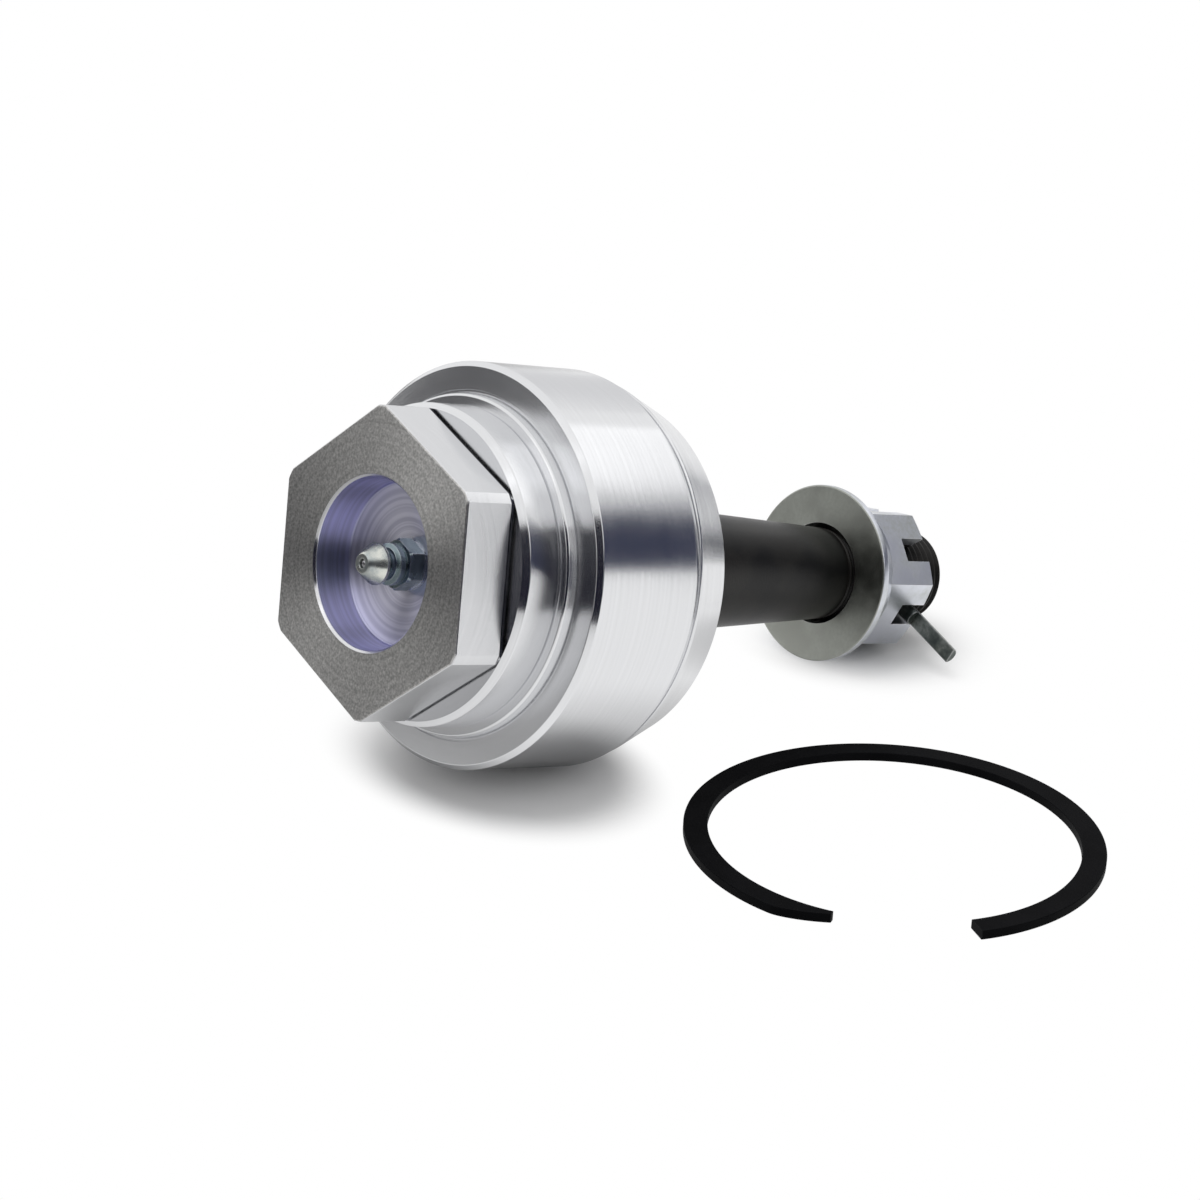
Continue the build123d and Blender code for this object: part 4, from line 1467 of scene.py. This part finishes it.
# The world's light: heights in the sky where it starts and stops to grow, and the shares
# of the fill at these two.
SKY = (0.0, 0.8)
SKY_SHARES = (0.5, 1.15)
SOFTBOX_SIZE = 0.9
SOFTBOX_PLACE = (-0.1, 0.25, 0.95)

# The studio's cards, which glow in their colour, are seen only in reflections and light
# nothing, as painted reflections: name, azimuth from +X towards +Y, half width, lowest and
# highest elevation, distance in metres, and colour.
REFLECTION_CARDS = (
    ("dark_wall", -42, 55, 1.5, 23, 1.5, (0.035, 0.04, 0.075)),
    ("left_wall", 160, 34, -6, 20, 0.2, (0.11, 0.11, 0.115)),
    ("camera_wall", 225, 30, -1, 42, 0.7, (0.01, 0.01, 0.02)),
    ("rear_wall", 2, 14, -8.8, -1.5, 0.2, (0.03, 0.035, 0.05)),
    ("bright_wall", -8, 20, 28, 42, 1.5, (1.35, 1.35, 1.35)),
    ("sky_wall", 175, 28, 53, 66, 0.7, (1.5, 1.5, 1.5)),
    ("right_wall", 42, 19, 2, 26, 1.5, (0.78, 0.78, 0.79)),
)


def reflection_card(name, azimuth, half_width, low, high, distance, shade):
    """A curved card round the object that only reflections see, angles in degrees."""
    azimuth, half_width, low, high = map(radians, (azimuth, half_width, low, high))
    bm = bmesh.new()
    ends = [bm.verts.new((distance, 0, distance * tan(angle))) for angle in (low, high)]
    bm.edges.new(ends)
    start = Matrix.Rotation(azimuth - half_width, 3, "Z")
    bmesh.ops.rotate(bm, cent=(0, 0, 0), matrix=start, verts=ends)
    spin(bm, bm.verts[:] + bm.edges[:], (0, 0, 1), 2 * half_width, CARD_STEPS)
    card = mesh_object(bm, name)
    tree, surface = stage_material(card, name)
    glow = add(tree, "ShaderNodeEmission")
    feed(tree, glow.inputs["Color"], opaque(shade))
    feed(tree, surface, glow.outputs[0])
    card.visible_camera = False
    card.visible_diffuse = False
    card.visible_shadow = False
    card.visible_transmission = False


class BALLJOINT_OT_stage(bpy.types.Operator):
    """Set the white floor, the studio light and the camera"""

    bl_idname = "ball_joint.stage"
    bl_label = "Stage"

    def execute(self, context):
        stage = context.scene.ball_joint_stage
        self.make_world(context, stage)
        self.make_floor(stage)
        self.make_lights(stage)
        self.make_camera(context, stage)
        context.scene.view_settings.view_transform = "Standard"
        return {"FINISHED"}

    def make_world(self, context, stage):
        """A world that is white to the camera and in reflections, and dimmer as light."""
        world = bpy.data.worlds.new("Studio")
        world.use_nodes = True
        tree = world.node_tree
        path = add(tree, "ShaderNodeLightPath").outputs
        seen = calc(tree, "MAXIMUM", path["Is Camera Ray"], path["Is Glossy Ray"])
        seen = calc(tree, "MAXIMUM", seen, path["Is Transmission Ray"])
        # The fill comes from above, so that the floor is dark where the object stands.
        facing = add(tree, "ShaderNodeTexCoord").outputs["Generated"]
        height = vector_calc(tree, "DOT_PRODUCT", facing, (0, 0, 1))
        low, high = (share * stage.fill for share in SKY_SHARES)
        fill = spread(tree, height, *SKY, low, high)
        background = tree.nodes["Background"].inputs
        background["Color"].default_value = WHITE
        feed(tree, background["Strength"], spread(tree, seen, 0.0, 1.0, fill, 1.0))
        context.scene.world = world

    def make_floor(self, stage):
        """A white disc that keeps the object's shadow near it."""
        bm = bmesh.new()
        height = Matrix.Translation((0, 0, FLOOR))
        bmesh.ops.create_circle(
            bm, cap_ends=True, radius=stage.floor_r, segments=96, matrix=height
        )
        floor = mesh_object(bm, "floor")
        tree, surface = stage_material(floor, "floor_white")
        place = add(tree, "ShaderNodeTexCoord").outputs["Object"]
        # The shadow stays where the housing and the nut stand on the floor.
        far = 1.0
        for station, stretch, near, edge in CONTACT_SHADOWS:
            off = vector_calc(tree, "SUBTRACT", place, (station * MM, 0, 0))
            off = vector_calc(tree, "MULTIPLY", off, (stretch, 1, 0))
            away = fade(tree, vector_calc(tree, "LENGTH", off), near, edge)
            far = calc(tree, "MINIMUM", far, away)
        # Reflections see painted shade on the floor, darker under the object and on the studio's
        # dark side.
        direction, *side_fade = DARK_SIDE
        shade = fade(tree, vector_calc(tree, "DOT_PRODUCT", place, direction), *side_fade)
        for (x, y), edge, near, most in REFLECTED_SHADES:
            off = vector_calc(tree, "SUBTRACT", place, (x * MM, y * MM, FLOOR))
            spot = fade(tree, vector_calc(tree, "LENGTH", off), edge, near, most)
            shade = calc(tree, "MAXIMUM", shade, spot)
        path = add(tree, "ShaderNodeLightPath").outputs
        shade = product(tree, shade, path["Is Glossy Ray"])
        matt = add(tree, "ShaderNodeBsdfDiffuse")
        feed(tree, matt.inputs["Color"], mix(tree, shade, opaque(FLOOR_TONE), BLACK))
        glow = add(tree, "ShaderNodeEmission")
        feed(tree, glow.inputs["Color"], mix(tree, shade, WHITE, BLACK))
        seen = calc(tree, "MAXIMUM", path["Is Camera Ray"], path["Is Glossy Ray"])
        looks = add(tree, "ShaderNodeMixShader")
        feed(tree, looks.inputs[0], product(tree, far, seen))
        feed(tree, looks.inputs[1], matt.outputs[0])
        feed(tree, looks.inputs[2], glow.outputs[0])
        feed(tree, surface, looks.outputs[0])

    def make_lights(self, stage):
        """An overhead softbox and the cards that stand round the object."""
        softbox = linked("softbox", bpy.data.lights.new("softbox", "AREA"))
        softbox.data.shape = "SQUARE"
        softbox.data.size = SOFTBOX_SIZE
        softbox.data.energy = stage.key
        softbox.location = SOFTBOX_PLACE
        softbox.rotation_mode = "QUATERNION"
        softbox.rotation_quaternion = (-softbox.location).to_track_quat("-Z", "Y")
        softbox.visible_glossy = False
        for card in REFLECTION_CARDS:
            reflection_card(*card)

    def make_camera(self, context, stage):
        """The photograph's camera."""
        camera = linked("camera", bpy.data.cameras.new("camera"))
        camera.data.lens = stage.lens
        camera.data.sensor_width = 36
        camera.data.clip_start = 0.01
        camera.data.clip_end = 20
        side, height = stage.azimuth, stage.elevation
        back = Vector((sin(side) * cos(height), -cos(side) * cos(height), sin(height)))
        turned_to = (-back).to_track_quat("-Z", "Y").to_matrix().to_4x4()
        roll = Matrix.Rotation(stage.roll, 4, "Z")
        camera.matrix_world = Matrix.Translation(stage.camera_place) @ turned_to @ roll
        context.scene.camera = camera


OPERATORS = (
    BALLJOINT_OT_finishes,
    BALLJOINT_OT_housing,
    BALLJOINT_OT_cap,
    BALLJOINT_OT_fitting,
    BALLJOINT_OT_stud,
    BALLJOINT_OT_nut,
    BALLJOINT_OT_pin,
    BALLJOINT_OT_boot,
    BALLJOINT_OT_ring,
    BALLJOINT_OT_inner_pieces,
    BALLJOINT_OT_stage,
)


class BALLJOINT_PT_panel(bpy.types.Panel):
    """Lists the pieces and their sizes"""

    bl_label = "Ball Joint"
    bl_idname = "BALLJOINT_PT_panel"
    bl_space_type = "VIEW_3D"
    bl_region_type = "UI"
    bl_category = "Ball Joint"

    def draw(self, context):
        for name in SIZE_GROUPS:
            group = getattr(context.scene, "ball_joint_" + name)
            box = self.layout.box()
            box.label(text=name.capitalize())
            for prop in group.bl_rna.properties:
                if prop.identifier not in ("rna_type", "name"):
                    box.prop(group, prop.identifier)
        for operator in OPERATORS:
            self.layout.operator(operator.bl_idname)


def register():
    """Registers the property groups, the operators and the panel."""
    for name, group in SIZE_GROUPS.items():
        bpy.utils.register_class(group)
        setattr(bpy.types.Scene, "ball_joint_" + name, PointerProperty(type=group))
    for operator in OPERATORS:
        bpy.utils.register_class(operator)
    bpy.utils.register_class(BALLJOINT_PT_panel)


def unregister():
    """Removes what register added."""
    bpy.utils.unregister_class(BALLJOINT_PT_panel)
    for operator in reversed(OPERATORS):
        bpy.utils.unregister_class(operator)
    for name, group in reversed(SIZE_GROUPS.items()):
        delattr(bpy.types.Scene, "ball_joint_" + name)
        bpy.utils.unregister_class(group)


def main():
    """Builds every piece and the stage."""
    register()
    for operator in OPERATORS:
        category, name = operator.bl_idname.split(".")
        getattr(getattr(bpy.ops, category), name)()


if __name__ == "__main__":
    main()
